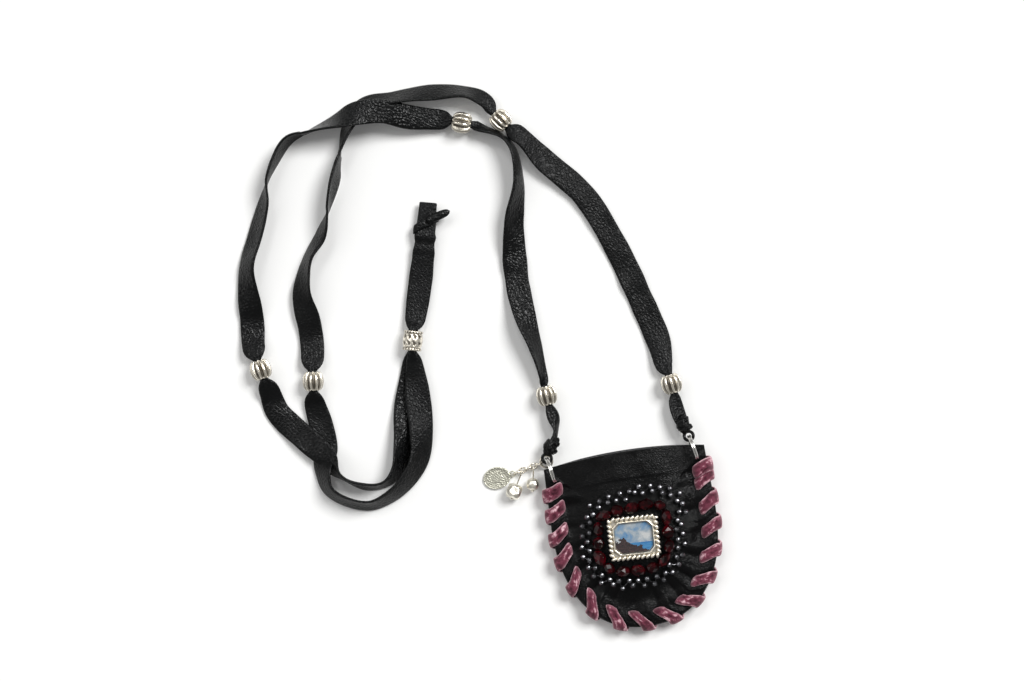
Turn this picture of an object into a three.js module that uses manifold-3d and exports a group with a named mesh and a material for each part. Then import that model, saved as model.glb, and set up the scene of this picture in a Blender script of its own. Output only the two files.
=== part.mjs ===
// A beaded medicine bag lying on its back: a laced leather pouch with a framed picture ringed by
// stones and seed beads, two split rings, a small charm chain and a flat leather neck strap with
// silver beads. Millimetres, +Z up, origin on the table under the middle of the pouch, mouth to +Y.
import * as THREE from "three";
import { LoftGeometry } from "three/addons/geometries/LoftGeometry.js";
import { mergeVertices } from "three/addons/utils/BufferGeometryUtils.js";
import Module from "manifold-3d";

const wasm = await Module();
wasm.setup();

// Pouch outline seen from the front: near straight sides over the widest line, a U under it.
const POUCH_HALF_WIDTH = 34.5;
const MOUTH_HALF_WIDTH = 33.8;
const MOUTH_CORNER_Y = 35;
const MOUTH_ARCH = 2.8;
const WIDEST_Y = 10;
const U_DEPTH = 46;
const U_POWER = 2.3;

// Pouch section: both panels lie together at the rim and part in the middle.
const LEATHER = 1.2;
const GAP = 0.3;
const RIM_HEIGHT = 5;
const FRONT_RISE = 4.4;
const BACK_DROP = 5.2;
const FLAT_RIM_FROM = 0.78;
const HEM_DEPTH = 12.5;
const HEM_THICKNESS = 0.9;

// Whip stitch of velvet ribbon round the rim.
const STITCHES = 15;
const LACING_WIDTH = 6.8;
const LACING_THICKNESS = 0.8;
const LACING_START = 10.5;
const SLIT_INSET = 6.5;
const SLIT_LENGTH = 3.6;
const STITCH_LEAN = 5;

// Silver frame with its picture, and the stones round it.
const FRAME_X = -1.4;
const FRAME_Y = 2;
const FRAME_TURN = -3;
const FRAME_WIDTH = 21.8;
const FRAME_HEIGHT = 18.6;
const FRAME_BORDER = 2.9;
const FRAME_DEPTH = 3;
const ROPE_WIRE = 1.9;
const GARNET_LENGTH = 5.6;
const GARNET_WIDTH = 4.4;
const SEED_BEAD = 2.7;

// Split rings through the corners of the pouch, and the charms on the left one.
const RING_DIAMETER = 11.4;
const RING_WIRE = 0.8;
const RING_LEAN = 10;
const RING_HOLE_X = 30;
const RING_HOLE_Y = 29.4;
const JUMP_RING_RADIUS = 2.5;
const JUMP_RING_WIRE = 0.9;
const LINK_LENGTH = 4;
const LINK_WIDTH = 2.7;
const LINK_WIRE = 0.6;
const LINKS = 5;
const CHAIN_HEADING = 192;
const DISC_LENGTH = 11.6;
const DISC_WIDTH = 9.2;
const DISC_THICKNESS = 1;
const DISC_TURN = -6;
const NUGGET_LARGE = 6.2;
const NUGGET_SMALL = 5.4;

// Neck lace and its beads.
const LACE_WIDTH = 10.2;
const LACE_THICKNESS = 1.1;
const GATHERED_WIDTH = 2.6;
const GATHERED_THICKNESS = 1.7;
const MELON_DIAMETER = 8.8;
const MELON_LENGTH = 8;
const MELON_BORE = 4.1;
const MELON_LOBES = 8;
const SLIDER_DIAMETER = 8.4;
const SLIDER_LENGTH = 8.4;
const SLIDER_BORE = 5.6;
const TIE_WIDTH = 4.2;

const SILVER = { color: 0xb9b6ad, roughness: 0.28, metalness: 1 };
const BRIGHT = { color: 0xd3d2cc, roughness: 0.22, metalness: 1 };
const BLACK_LEATHER = { color: 0x17171a, roughness: 0.62, metalness: 0 };
const MAUVE_VELVET = { color: 0x96506a, roughness: 0.9, metalness: 0 };
const GARNET = { color: 0x3a0710, roughness: 0.12, metalness: 0 };
const HEMATITE = { color: 0x1c1c20, roughness: 0.12, metalness: 0.9 };
const CARD = { color: 0x7fb2dc, roughness: 0.6, metalness: 0 };
const GLASS = { color: 0xeef4f8, roughness: 0.05, metalness: 0, transparent: true, opacity: 0.25 };

// Lace route from each ring: x, y, lift off the table, roll about the lace in degrees, width.
// A number pair is a melon bead; the run ends in the slider and the tail, which both runs share.
const FULL = LACE_WIDTH;
const LEFT_ROUTE = [
  [-26.6, 50.3, 1.5, 75, 5], [-26.4, 55.8, 2.5, 20, 5.5], [-27.8, 65.6], [-27.9, 73, 3, 40, 5],
  [-29.4, 87.3, 0.5, 50, 9], [-31.4, 98.8, 0, 30, FULL], [-32.5, 115.8, 0, 0, FULL],
  [-30.2, 138, 0, 35, FULL], [-25.4, 156, 0, 66, FULL],
  [-25.8, 169.6, 0, 78, FULL], [-30.1, 175.9, 0, 80, 8], [-38.2, 180.8, 2, 45, 6], [-45, 183.9],
  [-53.9, 186.6, 3, 0, 9], [-66.2, 189.4, 5, 0, FULL], [-77.1, 193.3, 8.5, 0, FULL],
  [-87.7, 193.9, 9, 12, FULL], [-97.2, 192.4, 4, 55, FULL], [-110.8, 189.9, 0.5, 88, FULL],
  [-118.5, 187.3, 0, 118, FULL], [-128.8, 173.2, 0, 90, FULL], [-132.3, 163.1, 0, 60, FULL],
  [-137.3, 151.6, 0, 50, FULL], [-143.2, 138, 0, 50, FULL],
  [-144.8, 116.2, 0, 0, FULL], [-145.7, 105.3, 1.5, 0, 9.6], [-144.2, 95], [-142.2, 86, 1.5, 0, 8.8],
  [-140.3, 76.4, 0, 0, FULL], [-130.8, 64, 1.8, 0, FULL], [-123.6, 55.4, 2.4, 10, FULL],
  [-118.3, 45.9, 0.5, 78, FULL], [-108.7, 39.7, 0, 75, FULL], [-100.2, 39.6, 0, 75, FULL],
  [-93.8, 44.8, 0, 58, FULL], [-89.7, 56.4, 0, 32, FULL], [-86.3, 70.8, 0, 4, FULL],
  [-81.8, 88.4, 1, 0, 7],
];
const RIGHT_ROUTE = [
  [26.1, 46.4, 2.5, 25, 6], [24.9, 54, 3, 15, 6.2], [24.5, 62.3], [22.8, 69.7, 3, 0, 7.5],
  [22.2, 80.4, 0.5, 0, FULL], [17.4, 99.9, 0, 0, FULL], [10.2, 124, 0, 0, FULL],
  [0.8, 146, 0, 8, FULL], [-13.2, 163, 1, 15, FULL],
  [-21.1, 174, 2.5, 30, 8.5], [-28.8, 182.3], [-33.3, 190.8, 2.5, 20, 6.5],
  [-40.2, 195.7, 0, 58, FULL], [-55, 198.2, 0, 46, FULL],
  [-72, 198.6, 0, 58, FULL], [-84.6, 197.2, 0, 45, FULL], [-92.4, 189.5, 0, 60, FULL],
  [-97.3, 178.8, 0, 88, FULL], [-100.8, 168.7, 0, 118, FULL], [-105, 158.4, 0, 95, FULL],
  [-110.5, 146.5, 0, 60, FULL], [-117.4, 137.8, 0, 66, FULL],
  [-122, 125, 0, 42, FULL], [-121.3, 110.3, 0, 5, FULL], [-121.6, 100.6, 1.5, 0, 9.8],
  [-123.3, 86.8], [-124.2, 77.2, 1.5, 0, 8.8], [-123.1, 68.1, 0, 0, FULL],
  [-122.7, 58.3, 0, 0, FULL], [-125, 49.3, 0, 45, FULL], [-124.2, 41.1, 0, 62, FULL],
  [-117.9, 35.2, 0, 66, FULL], [-108.2, 31.7, 0, 66, FULL], [-98.9, 34.1, 0, 60, FULL],
  [-90.8, 39.6, 0, 50, FULL], [-84.4, 47.9, 0, 40, FULL], [-81.9, 59.5, 1.9, 20, FULL],
  [-81, 76.3, 1.9, 0, FULL], [-80.3, 88.5, 3, 0, 7],
];
const SLIDER_AT = [-79.5, 97];
const TAIL = [
  [-77.5, 104.7, 0.9, 8.8], [-72.7, 120.5, 0, 10], [-68.2, 136.8, 1.2, 8.6], [-64.4, 151.9, 1.5, 7.4],
];
const TIE_AT = 0.72;

// Loops that the stones and the strung seed beads follow round the frame, from its middle.
const GARNET_LOOP = [
  [0.9, 13], [8, 13.4], [14.8, 11], [15, 2], [14.4, -7], [9.4, -13.4], [0, -14.4], [-9, -13.4],
  [-15.6, -8.6], [-15.4, 2], [-12.4, 11],
];
const GARNETS = 16;
const SEED_LOOP = [
  [-20.4, -0.9], [-19.6, -8.5], [-15.8, -15], [-8.6, -18.2], [0.7, -19], [8.5, -18.6], [14.8, -14],
  [18.8, -7.6], [19, 0.6], [21.5, 8.5], [19.5, 15.2], [12.5, 18], [5.5, 19.2], [-1.5, 17.4],
  [-9, 16.8], [-15, 14], [-18.4, 7.5],
];
const SEED_BEADS = 38;

const UP = new THREE.Vector3(0, 0, 1);
const radians = THREE.MathUtils.degToRad;

function toSolid(geometry) {
  const bare = new THREE.BufferGeometry();
  bare.setAttribute("position", geometry.getAttribute("position").clone());
  if (geometry.index) bare.setIndex(geometry.index.clone());
  const merged = mergeVertices(bare, 1e-4);
  return new wasm.Manifold(
    new wasm.Mesh({
      numProp: 3,
      vertProperties: new Float32Array(merged.getAttribute("position").array),
      triVerts: new Uint32Array(merged.index.array),
    }),
  );
}

function toGeometry(solid) {
  const { vertProperties, triVerts } = solid.getMesh();
  const geometry = new THREE.BufferGeometry();
  geometry.setAttribute("position", new THREE.BufferAttribute(new Float32Array(vertProperties), 3));
  geometry.setIndex(new THREE.BufferAttribute(new Uint32Array(triVerts), 1));
  return geometry;
}

function join(...geometries) {
  return toGeometry(geometries.map(toSolid).reduce((whole, piece) => whole.add(piece)));
}

function cut(geometry, tools) {
  return toGeometry(tools.map(toSolid).reduce((whole, tool) => whole.subtract(tool), toSolid(geometry)));
}

const bag = new THREE.Group();

function addMesh(name, geometry, look, parent = bag) {
  const mesh = new THREE.Mesh(geometry, new THREE.MeshStandardMaterial(look));
  mesh.name = name;
  parent.add(mesh);
  return mesh;
}

function addGroup(x, y, z, turn = 0, parent = bag) {
  const group = new THREE.Group();
  group.position.set(x, y, z);
  group.rotation.z = radians(turn);
  parent.add(group);
  return group;
}

// Sections for lofts, as pairs across and up, counterclockwise.
function flatSection(width, thickness) {
  const [w, t, c] = [width / 2, thickness / 2, thickness * 0.3];
  return [[-w, c - t], [c - w, -t], [w - c, -t], [w, c - t], [w, t - c], [w - c, t], [c - w, t], [-w, t - c]];
}

function ribbonSection(width, thickness) {
  const [w, t] = [width / 2, thickness / 2];
  return [[-w, 0], [t - w, -t], [w - t, -t], [w, 0], [w - t, t], [t - w, t]];
}

function roundSection(diameter, sides) {
  return Array.from({ length: sides }, (_, i) => {
    const angle = (2 * Math.PI * i) / sides;
    return [(diameter / 2) * Math.cos(angle), (diameter / 2) * Math.sin(angle)];
  });
}

// Stations are { point, across, up, section }; a loop runs back into its first station.
function sweep(stations, loop = false) {
  const rows = stations.map(({ point, across, up, section }) =>
    section.map(([a, b]) => point.clone().addScaledVector(across, a).addScaledVector(up, b)),
  );
  return loop
    ? new LoftGeometry([...rows, rows[0]])
    : new LoftGeometry(rows, { capStart: true, capEnd: true });
}

// A wire bent to an oval loop in the local XY plane.
function wireLoop(halfLength, halfWidth, section, steps) {
  const stations = Array.from({ length: steps }, (_, i) => {
    const angle = (2 * Math.PI * i) / steps;
    const tangent = new THREE.Vector3(-halfLength * Math.sin(angle), halfWidth * Math.cos(angle), 0);
    return {
      point: new THREE.Vector3(halfLength * Math.cos(angle), halfWidth * Math.sin(angle), 0),
      across: UP.clone().cross(tangent).normalize(),
      up: UP,
      section,
    };
  });
  return sweep(stations, true);
}

// A bead with a bore along local Z: rings of radius, height and groove depth from end to end.
function boredBead(profile, bore, sides) {
  const height = profile.at(-1)[1];
  const rings = [...profile, [bore / 2, height, 0], [bore / 2, profile[0][1], 0]];
  const rows = rings.map(([radius, z, groove]) =>
    Array.from({ length: sides }, (_, i) => {
      const angle = (2 * Math.PI * i) / sides;
      const r = radius - (i % 2) * groove;
      return new THREE.Vector3(r * Math.cos(angle), r * Math.sin(angle), z);
    }),
  );
  return new LoftGeometry([...rows, rows[0]]);
}

// Pouch: the rim runs from the left corner of the mouth down round the U to the right corner.
class PouchU extends THREE.Curve {
  getPoint(t, target = new THREE.Vector2()) {
    const angle = Math.PI * (1 + t);
    const squared = (value) => Math.sign(value) * Math.abs(value) ** (2 / U_POWER);
    return target.set(
      POUCH_HALF_WIDTH * squared(Math.cos(angle)),
      WIDEST_Y + U_DEPTH * squared(Math.sin(angle)),
    );
  }
}

const rim = new THREE.CurvePath();
rim.add(
  new THREE.LineCurve(
    new THREE.Vector2(-MOUTH_HALF_WIDTH, MOUTH_CORNER_Y),
    new THREE.Vector2(-POUCH_HALF_WIDTH, WIDEST_Y),
  ),
);
rim.add(new PouchU());
rim.add(
  new THREE.LineCurve(
    new THREE.Vector2(POUCH_HALF_WIDTH, WIDEST_Y),
    new THREE.Vector2(MOUTH_HALF_WIDTH, MOUTH_CORNER_Y),
  ),
);
const RIM_LENGTH = rim.getLength();
const PANEL_MIDDLE = new THREE.Vector2(0, 2);

function rimAt(distance) {
  const t = THREE.MathUtils.clamp(distance / RIM_LENGTH, 0.001, 0.999);
  const along = rim.getTangent(t);
  return { point: rim.getPoint(t), along, inward: new THREE.Vector2(-along.y, along.x) };
}

function mouthY(x) {
  return MOUTH_CORNER_Y + MOUTH_ARCH * (1 - (x / MOUTH_HALF_WIDTH) ** 2);
}

// 0 in the middle of the pouch and 1 on its rim.
function rimShare(x, y) {
  if (y < WIDEST_Y) {
    const down = Math.abs((WIDEST_Y - y) / U_DEPTH) ** U_POWER;
    return (Math.abs(x / POUCH_HALF_WIDTH) ** U_POWER + down) ** (1 / U_POWER);
  }
  const up = (y - WIDEST_Y) / (MOUTH_CORNER_Y - WIDEST_Y);
  return Math.abs(x) / THREE.MathUtils.lerp(POUCH_HALF_WIDTH, MOUTH_HALF_WIDTH, up);
}

function swell(x, y) {
  return (1 - Math.min(rimShare(x, y) / FLAT_RIM_FROM, 1) ** 4) ** 1.5;
}

function hem(x, y) {
  const turnedIn = mouthY(x) - y < HEM_DEPTH + 0.6;
  return turnedIn ? HEM_THICKNESS * Math.min(1, 3 * swell(x, y)) : 0;
}

const frontTop = (x, y) => RIM_HEIGHT + GAP / 2 + LEATHER + FRONT_RISE * swell(x, y);
const frontUnder = (x, y) => frontTop(x, y) - LEATHER - hem(x, y);
const backUnder = (x, y) => Math.max(0, RIM_HEIGHT - GAP / 2 - LEATHER - BACK_DROP * swell(x, y));
const backTop = (x, y) => backUnder(x, y) + LEATHER + hem(x, y);

const RIM_STEPS = 36;
const MOUTH_STEPS = 8;
const outline = rim.getSpacedPoints(RIM_STEPS);
for (let i = 1; i < MOUTH_STEPS; i++) {
  const x = MOUTH_HALF_WIDTH * (1 - (2 * i) / MOUTH_STEPS);
  outline.push(new THREE.Vector2(x, mouthY(x)));
}

// A shell of rings from the middle of one face over the edge to the middle of the other.
function shell(rows) {
  const wall = new LoftGeometry(rows).toNonIndexed().getAttribute("position").array;
  const closing = [rows[0].toReversed(), rows.at(-1)].flatMap((row) => {
    const middle = row.reduce((sum, point) => sum.add(point), new THREE.Vector3()).divideScalar(row.length);
    return row.flatMap((point, i) => [middle, point, row[(i + 1) % row.length]]);
  });
  const positions = [...wall, ...closing.flatMap((point) => point.toArray())];
  return new THREE.BufferGeometry().setAttribute("position", new THREE.Float32BufferAttribute(positions, 3));
}

function panelRing(share, height) {
  return outline.map((point) => {
    const { x, y } = point.clone().lerp(PANEL_MIDDLE, 1 - share);
    return new THREE.Vector3(x, y, height(x, y));
  });
}

const HEM_SHARE = 1 - HEM_DEPTH / (mouthY(0) - PANEL_MIDDLE.y);
const FLAT_SHARE = FLAT_RIM_FROM + 0.01;
const INNER_SHARES = [0.35, HEM_SHARE - 0.03, HEM_SHARE + 0.005, FLAT_SHARE, 1];
const OUTER_SHARES = [0.975, FLAT_SHARE, 0.6, 0.35];
const EDGE_ROUND = LEATHER * 0.5;

const frontSolid = shell([
  ...INNER_SHARES.map((share) => panelRing(share, frontUnder)),
  panelRing(1, (x, y) => frontTop(x, y) - EDGE_ROUND),
  ...OUTER_SHARES.map((share) => panelRing(share, frontTop)),
]);
const backSolid = shell([
  ...OUTER_SHARES.toReversed().map((share) => panelRing(share, backUnder)),
  panelRing(1, (x, y) => backUnder(x, y) + EDGE_ROUND),
  ...INNER_SHARES.toReversed().map((share) => panelRing(share, backTop)),
]);

const STITCH_PITCH = (RIM_LENGTH - 2 * LACING_START - STITCH_LEAN / 2) / (STITCHES - 1);
const slits = Array.from({ length: STITCHES }, (_, i) => {
  const { point, along, inward } = rimAt(LACING_START + i * STITCH_PITCH);
  const slit = new THREE.BoxGeometry(SLIT_LENGTH, 2.5 * LACING_THICKNESS, 8 * RIM_HEIGHT);
  slit.rotateZ(Math.atan2(along.y, along.x));
  const middle = point.clone().addScaledVector(inward, SLIT_INSET);
  return slit.translate(middle.x, middle.y, 0);
});
const ringHoles = [-1, 1].map((side) =>
  new THREE.CylinderGeometry(2 * RING_WIRE, 2 * RING_WIRE, 8 * RIM_HEIGHT, 8)
    .rotateX(Math.PI / 2)
    .translate(side * RING_HOLE_X, RING_HOLE_Y, 0),
);
addMesh("front_panel", cut(frontSolid, [...slits, ...ringHoles]), BLACK_LEATHER);
addMesh("back_panel", cut(backSolid, [...slits, ...ringHoles]), BLACK_LEATHER);

// Lacing: up through a slit, forward over the front and the edge, back under to the next slit.
const RIM_HALF = GAP / 2 + LEATHER;
const OVER = RIM_HALF + GAP + LACING_THICKNESS / 2;
const OUTSIDE = GAP + 0.4 + LACING_THICKNESS / 2;
const back = STITCH_PITCH - STITCH_LEAN;
// Distance along the rim, inset from its edge, height off the middle of the rim, ribbon width.
const STITCH = [
  [0, SLIT_INSET, -OVER, 0.42],
  [0, SLIT_INSET, OVER, 0.42],
  [0.5 * STITCH_LEAN, 0.6 * SLIT_INSET, OVER + 0.25, 1],
  [0.95 * STITCH_LEAN, 0.4, OVER + 0.15, 1],
  [STITCH_LEAN, -OUTSIDE, 0.6 * OVER, 1],
  [STITCH_LEAN + 0.1 * back, -OUTSIDE, -0.6 * OVER, 1],
  [STITCH_LEAN + 0.25 * back, 0.4, -OVER - 0.3, 1],
  [STITCH_LEAN + 0.7 * back, 0.6 * SLIT_INSET, -OVER - 0.25, 0.9],
];
const lacingPoints = [];
for (let i = 0; i < STITCHES; i++) {
  for (const [forward, inset, height, share] of STITCH) {
    const { point, along, inward } = rimAt(LACING_START + i * STITCH_PITCH + forward);
    const at = point.clone().addScaledVector(inward, inset);
    lacingPoints.push({
      point: new THREE.Vector3(at.x, at.y, RIM_HEIGHT + height),
      rimway: new THREE.Vector3(along.x, along.y, 0),
      width: LACING_WIDTH * share,
    });
  }
}
lacingPoints.splice(-1);
const lacing = lacingPoints.map(({ point, rimway, width }, i) => {
  const before = lacingPoints[Math.max(i - 1, 0)].point;
  const after = lacingPoints[Math.min(i + 1, lacingPoints.length - 1)].point;
  const tangent = after.clone().sub(before).normalize();
  const across = rimway.clone().addScaledVector(tangent, -rimway.dot(tangent)).normalize();
  const up = tangent.clone().cross(across);
  return { point, across, up, section: ribbonSection(width, LACING_THICKNESS) };
});
addMesh("edge_lacing", sweep(lacing), MAUVE_VELVET);

// Frame: a tray with a cut-cornered window and a rope border, then the card and the glass in it.
const seat = frontTop(FRAME_X, FRAME_Y) + GAP;
const frame = addGroup(FRAME_X, FRAME_Y, seat, FRAME_TURN);
const TRAY_FLOOR = 0.8;
const WINDOW_CORNER = 2.2;

function cutCornerShape(width, height, corner) {
  const [w, h] = [width / 2, height / 2];
  return new THREE.Shape(
    [
      [w - corner, -h], [w, corner - h], [w, h - corner], [w - corner, h],
      [corner - w, h], [-w, h - corner], [-w, corner - h], [corner - w, -h],
    ].map(([x, y]) => new THREE.Vector2(x, y)),
  );
}

const windowWidth = FRAME_WIDTH - 2 * FRAME_BORDER;
const windowHeight = FRAME_HEIGHT - 2 * FRAME_BORDER;
const trayWidth = FRAME_WIDTH - ROPE_WIRE;
const trayHeight = FRAME_HEIGHT - ROPE_WIRE;
const plain = { bevelEnabled: false };
const trayFloor = new THREE.BoxGeometry(trayWidth, trayHeight, TRAY_FLOOR).translate(0, 0, TRAY_FLOOR / 2);
const wall = cutCornerShape(trayWidth, trayHeight, 0.5);
wall.holes.push(cutCornerShape(windowWidth, windowHeight, WINDOW_CORNER));
const trayWall = new THREE.ExtrudeGeometry(wall, { ...plain, depth: FRAME_DEPTH - TRAY_FLOOR / 2 });
trayWall.translate(0, 0, TRAY_FLOOR / 2);

const ropeRuns = [[trayWidth, 0], [trayHeight, 90], [trayWidth, 180], [trayHeight, 270]];
const rope = ropeRuns.flatMap(([length, turn], side) => {
  const out = (side % 2 ? trayWidth : trayHeight) / 2;
  const count = Math.round(length / (1.22 * ROPE_WIRE));
  return Array.from({ length: count }, (_, i) =>
    new THREE.OctahedronGeometry(ROPE_WIRE / 2, 0)
      .scale(1.3, 1, 1)
      .rotateZ(radians(32))
      .translate(length * (i / count - 0.5), -out, FRAME_DEPTH - ROPE_WIRE * 0.3)
      .rotateZ(radians(turn)),
  );
});
addMesh("bezel_frame", join(trayFloor, trayWall, ...rope), SILVER, frame);

const CARD_THICKNESS = 0.4;
const inWindow = (depth) =>
  new THREE.ExtrudeGeometry(
    cutCornerShape(windowWidth - 2 * GAP, windowHeight - 2 * GAP, WINDOW_CORNER),
    { ...plain, depth },
  );
const card = addMesh("picture_card", inWindow(CARD_THICKNESS), CARD, frame);
card.position.z = TRAY_FLOOR + GAP;
const glass = addMesh("glass_tile", inWindow(FRAME_DEPTH - TRAY_FLOOR - CARD_THICKNESS - GAP), GLASS, frame);
glass.position.z = TRAY_FLOOR + CARD_THICKNESS + 2 * GAP;

function loopThrough(points) {
  return new THREE.CatmullRomCurve3(points.map(([x, y]) => new THREE.Vector3(x, y, 0)), true);
}

// Stones: six-sided pointed barrels end to end round the frame, each a little different.
const garnetLoop = loopThrough(GARNET_LOOP);
for (let i = 0; i < GARNETS; i++) {
  const t = i / GARNETS;
  const at = garnetLoop.getPointAt(t);
  const along = garnetLoop.getTangentAt(t);
  const length = GARNET_LENGTH * (1 + 0.05 * Math.sin(2.4 * i));
  const radius = (GARNET_WIDTH / 2) * (1 + 0.08 * Math.sin(1.7 * i + 1));
  const profile = [[0, -0.5], [0.62, -0.36], [1, 0.06], [0.55, 0.38], [0, 0.5]];
  const stone = new THREE.LatheGeometry(
    profile.map(([r, z]) => new THREE.Vector2(r * radius, z * length)), 6,
  );
  const [x, y] = [FRAME_X + at.x, FRAME_Y + at.y];
  const garnet = addMesh(`garnet_${String(i + 1).padStart(2, "0")}`, stone, GARNET);
  garnet.position.set(x, y, frontTop(x, y) + GAP + GARNET_WIDTH * 0.52);
  garnet.rotation.z = Math.atan2(along.y, along.x) - Math.PI / 2 + 0.25 * Math.sin(3.1 * i);
}

// Seed beads on one closed beading thread that wanders round the stones.
const seedLoop = loopThrough(SEED_LOOP);
const seeds = Array.from({ length: SEED_BEADS }, (_, i) => {
  const t = (i + 0.12 * Math.sin(2.1 * i)) / SEED_BEADS;
  const at = seedLoop.getPointAt((t + 1) % 1);
  const out = 0.5 * Math.sin(1.7 * i);
  const reach = at.length();
  const x = FRAME_X + at.x * (1 + out / reach);
  const y = FRAME_Y + at.y * (1 + out / reach);
  return new THREE.Vector3(x, y, frontTop(x, y) + GAP + SEED_BEAD / 2);
});
const THREAD = 0.5;
const BEAD_FORM = [[-0.46, THREAD], [0, SEED_BEAD], [0.46, THREAD]];
const strung = seeds.flatMap((at, i) => {
  const before = seeds.at(i - 1);
  const after = seeds[(i + 1) % seeds.length];
  const tangent = after.clone().sub(before).normalize();
  const across = UP.clone().cross(tangent).normalize();
  const up = tangent.clone().cross(across);
  return BEAD_FORM.map(([along, diameter]) => ({
    point: at.clone().addScaledVector(tangent, along * SEED_BEAD),
    across,
    up,
    section: roundSection(diameter, 5),
  }));
});
addMesh("hematite_string", sweep(strung, true), HEMATITE);

// Split rings: two coils side by side, upright through the corner holes and just off the table.
const RING_RADIUS = (RING_DIAMETER - RING_WIRE) / 2;
const RING_MIDDLE_Z = RING_DIAMETER / 2 + 0.2;
const RING_REACH = Math.sqrt(RING_RADIUS ** 2 - (RING_MIDDLE_Z - RIM_HEIGHT) ** 2);
const ringWay = new THREE.Vector2(-Math.sin(radians(RING_LEAN)), Math.cos(radians(RING_LEAN)));
const coil = RING_WIRE / 2;
const coilSection = [
  [-2, 0], [-1, -1], [0, -0.5], [1, -1], [2, 0], [1, 1], [0, 0.5], [-1, 1],
].map(([a, b]) => [b * coil, -a * coil]);

function ringMiddle(side) {
  return new THREE.Vector2(side * RING_HOLE_X, RING_HOLE_Y).addScaledVector(ringWay, RING_REACH);
}

for (const [side, name] of [[-1, "left_ring"], [1, "right_ring"]]) {
  const middle = ringMiddle(side);
  const ring = addMesh(name, wireLoop(RING_RADIUS, RING_RADIUS, coilSection, 16), BRIGHT);
  ring.position.set(middle.x, middle.y, RING_MIDDLE_Z);
  ring.rotation.set(0, Math.PI / 2, 0);
  ring.rotation.order = "ZYX";
  ring.rotation.z = radians(RING_LEAN);
}

// Charms: local X runs down the chain from where its jump ring hooks on the left ring.
const HOOK_Z = 2.4;
const hook = ringMiddle(-1).addScaledVector(
  ringWay, Math.sqrt(RING_RADIUS ** 2 - (RING_MIDDLE_Z - HOOK_Z) ** 2),
);
const charms = addGroup(hook.x, hook.y, 0, CHAIN_HEADING);
const jumpAt = JUMP_RING_RADIUS - JUMP_RING_WIRE / 2 - RING_WIRE - 0.6;
const wire = roundSection(LINK_WIRE, 5);
const jumpRing = addMesh(
  "charm_jump_ring",
  wireLoop(JUMP_RING_RADIUS, JUMP_RING_RADIUS, roundSection(JUMP_RING_WIRE, 5), 12),
  BRIGHT,
  charms,
);
jumpRing.position.set(jumpAt, 0, HOOK_Z);
const LINK_REACH = (LINK_LENGTH - LINK_WIRE) / 2;
const LINK_ROOM = LINK_REACH - LINK_WIRE / 2;
const LINK_STEP = LINK_REACH + LINK_ROOM - LINK_WIRE;
const LINK_HEIGHTS = [2.35, 2.2, 2, 1.85, 1.7];
const linkAt = Array.from({ length: LINKS }, (_, i) => {
  const first = jumpAt + JUMP_RING_RADIUS + LINK_ROOM - JUMP_RING_WIRE / 2 - GAP;
  return new THREE.Vector3(first + i * LINK_STEP, 0, LINK_HEIGHTS[i] ?? LINK_HEIGHTS.at(-1));
});
linkAt.forEach((at, i) => {
  const link = addMesh(
    `chain_link_${i + 1}`, wireLoop(LINK_REACH, (LINK_WIDTH - LINK_WIRE) / 2, wire, 8), BRIGHT, charms,
  );
  link.position.copy(at);
  link.rotation.x = i % 2 ? 0 : Math.PI / 2;
});

// Oval disc with a raised rim and its own eye, its far end resting on the table.
const EYE_RADIUS = 1.1;
const discEnd = linkAt.at(-1);
const disc = new THREE.LatheGeometry(
  [[0, -0.5], [0.94, -0.5], [1, -0.2], [1, 0.35], [0.93, 0.5], [0.8, 0.25], [0, 0.42]].map(
    ([r, z]) => new THREE.Vector2((r * DISC_WIDTH) / 2, z * DISC_THICKNESS),
  ),
  14,
)
  .rotateX(Math.PI / 2)
  .scale(DISC_LENGTH / DISC_WIDTH, 1, 1)
  .translate(2 * EYE_RADIUS + DISC_LENGTH / 2, 0, 0);
const discEye = wireLoop(EYE_RADIUS, EYE_RADIUS, wire, 8).translate(EYE_RADIUS, 0, 0);
const discCharm = addMesh("disc_charm", join(disc, discEye), BRIGHT, charms);
discCharm.position.set(discEnd.x + LINK_ROOM - LINK_WIRE, 0, discEnd.z - 0.15);
const discDrop = discCharm.position.z - DISC_THICKNESS / 2;
discCharm.rotation.set(0, Math.asin(discDrop / (DISC_LENGTH + 2 * EYE_RADIUS)), radians(DISC_TURN), "ZYX");

// Faceted nuggets, each threaded on a pin whose loop hangs in a flat link.
const PIN_WIRE = 0.5;
const PIN_LOOP = 1;

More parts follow.
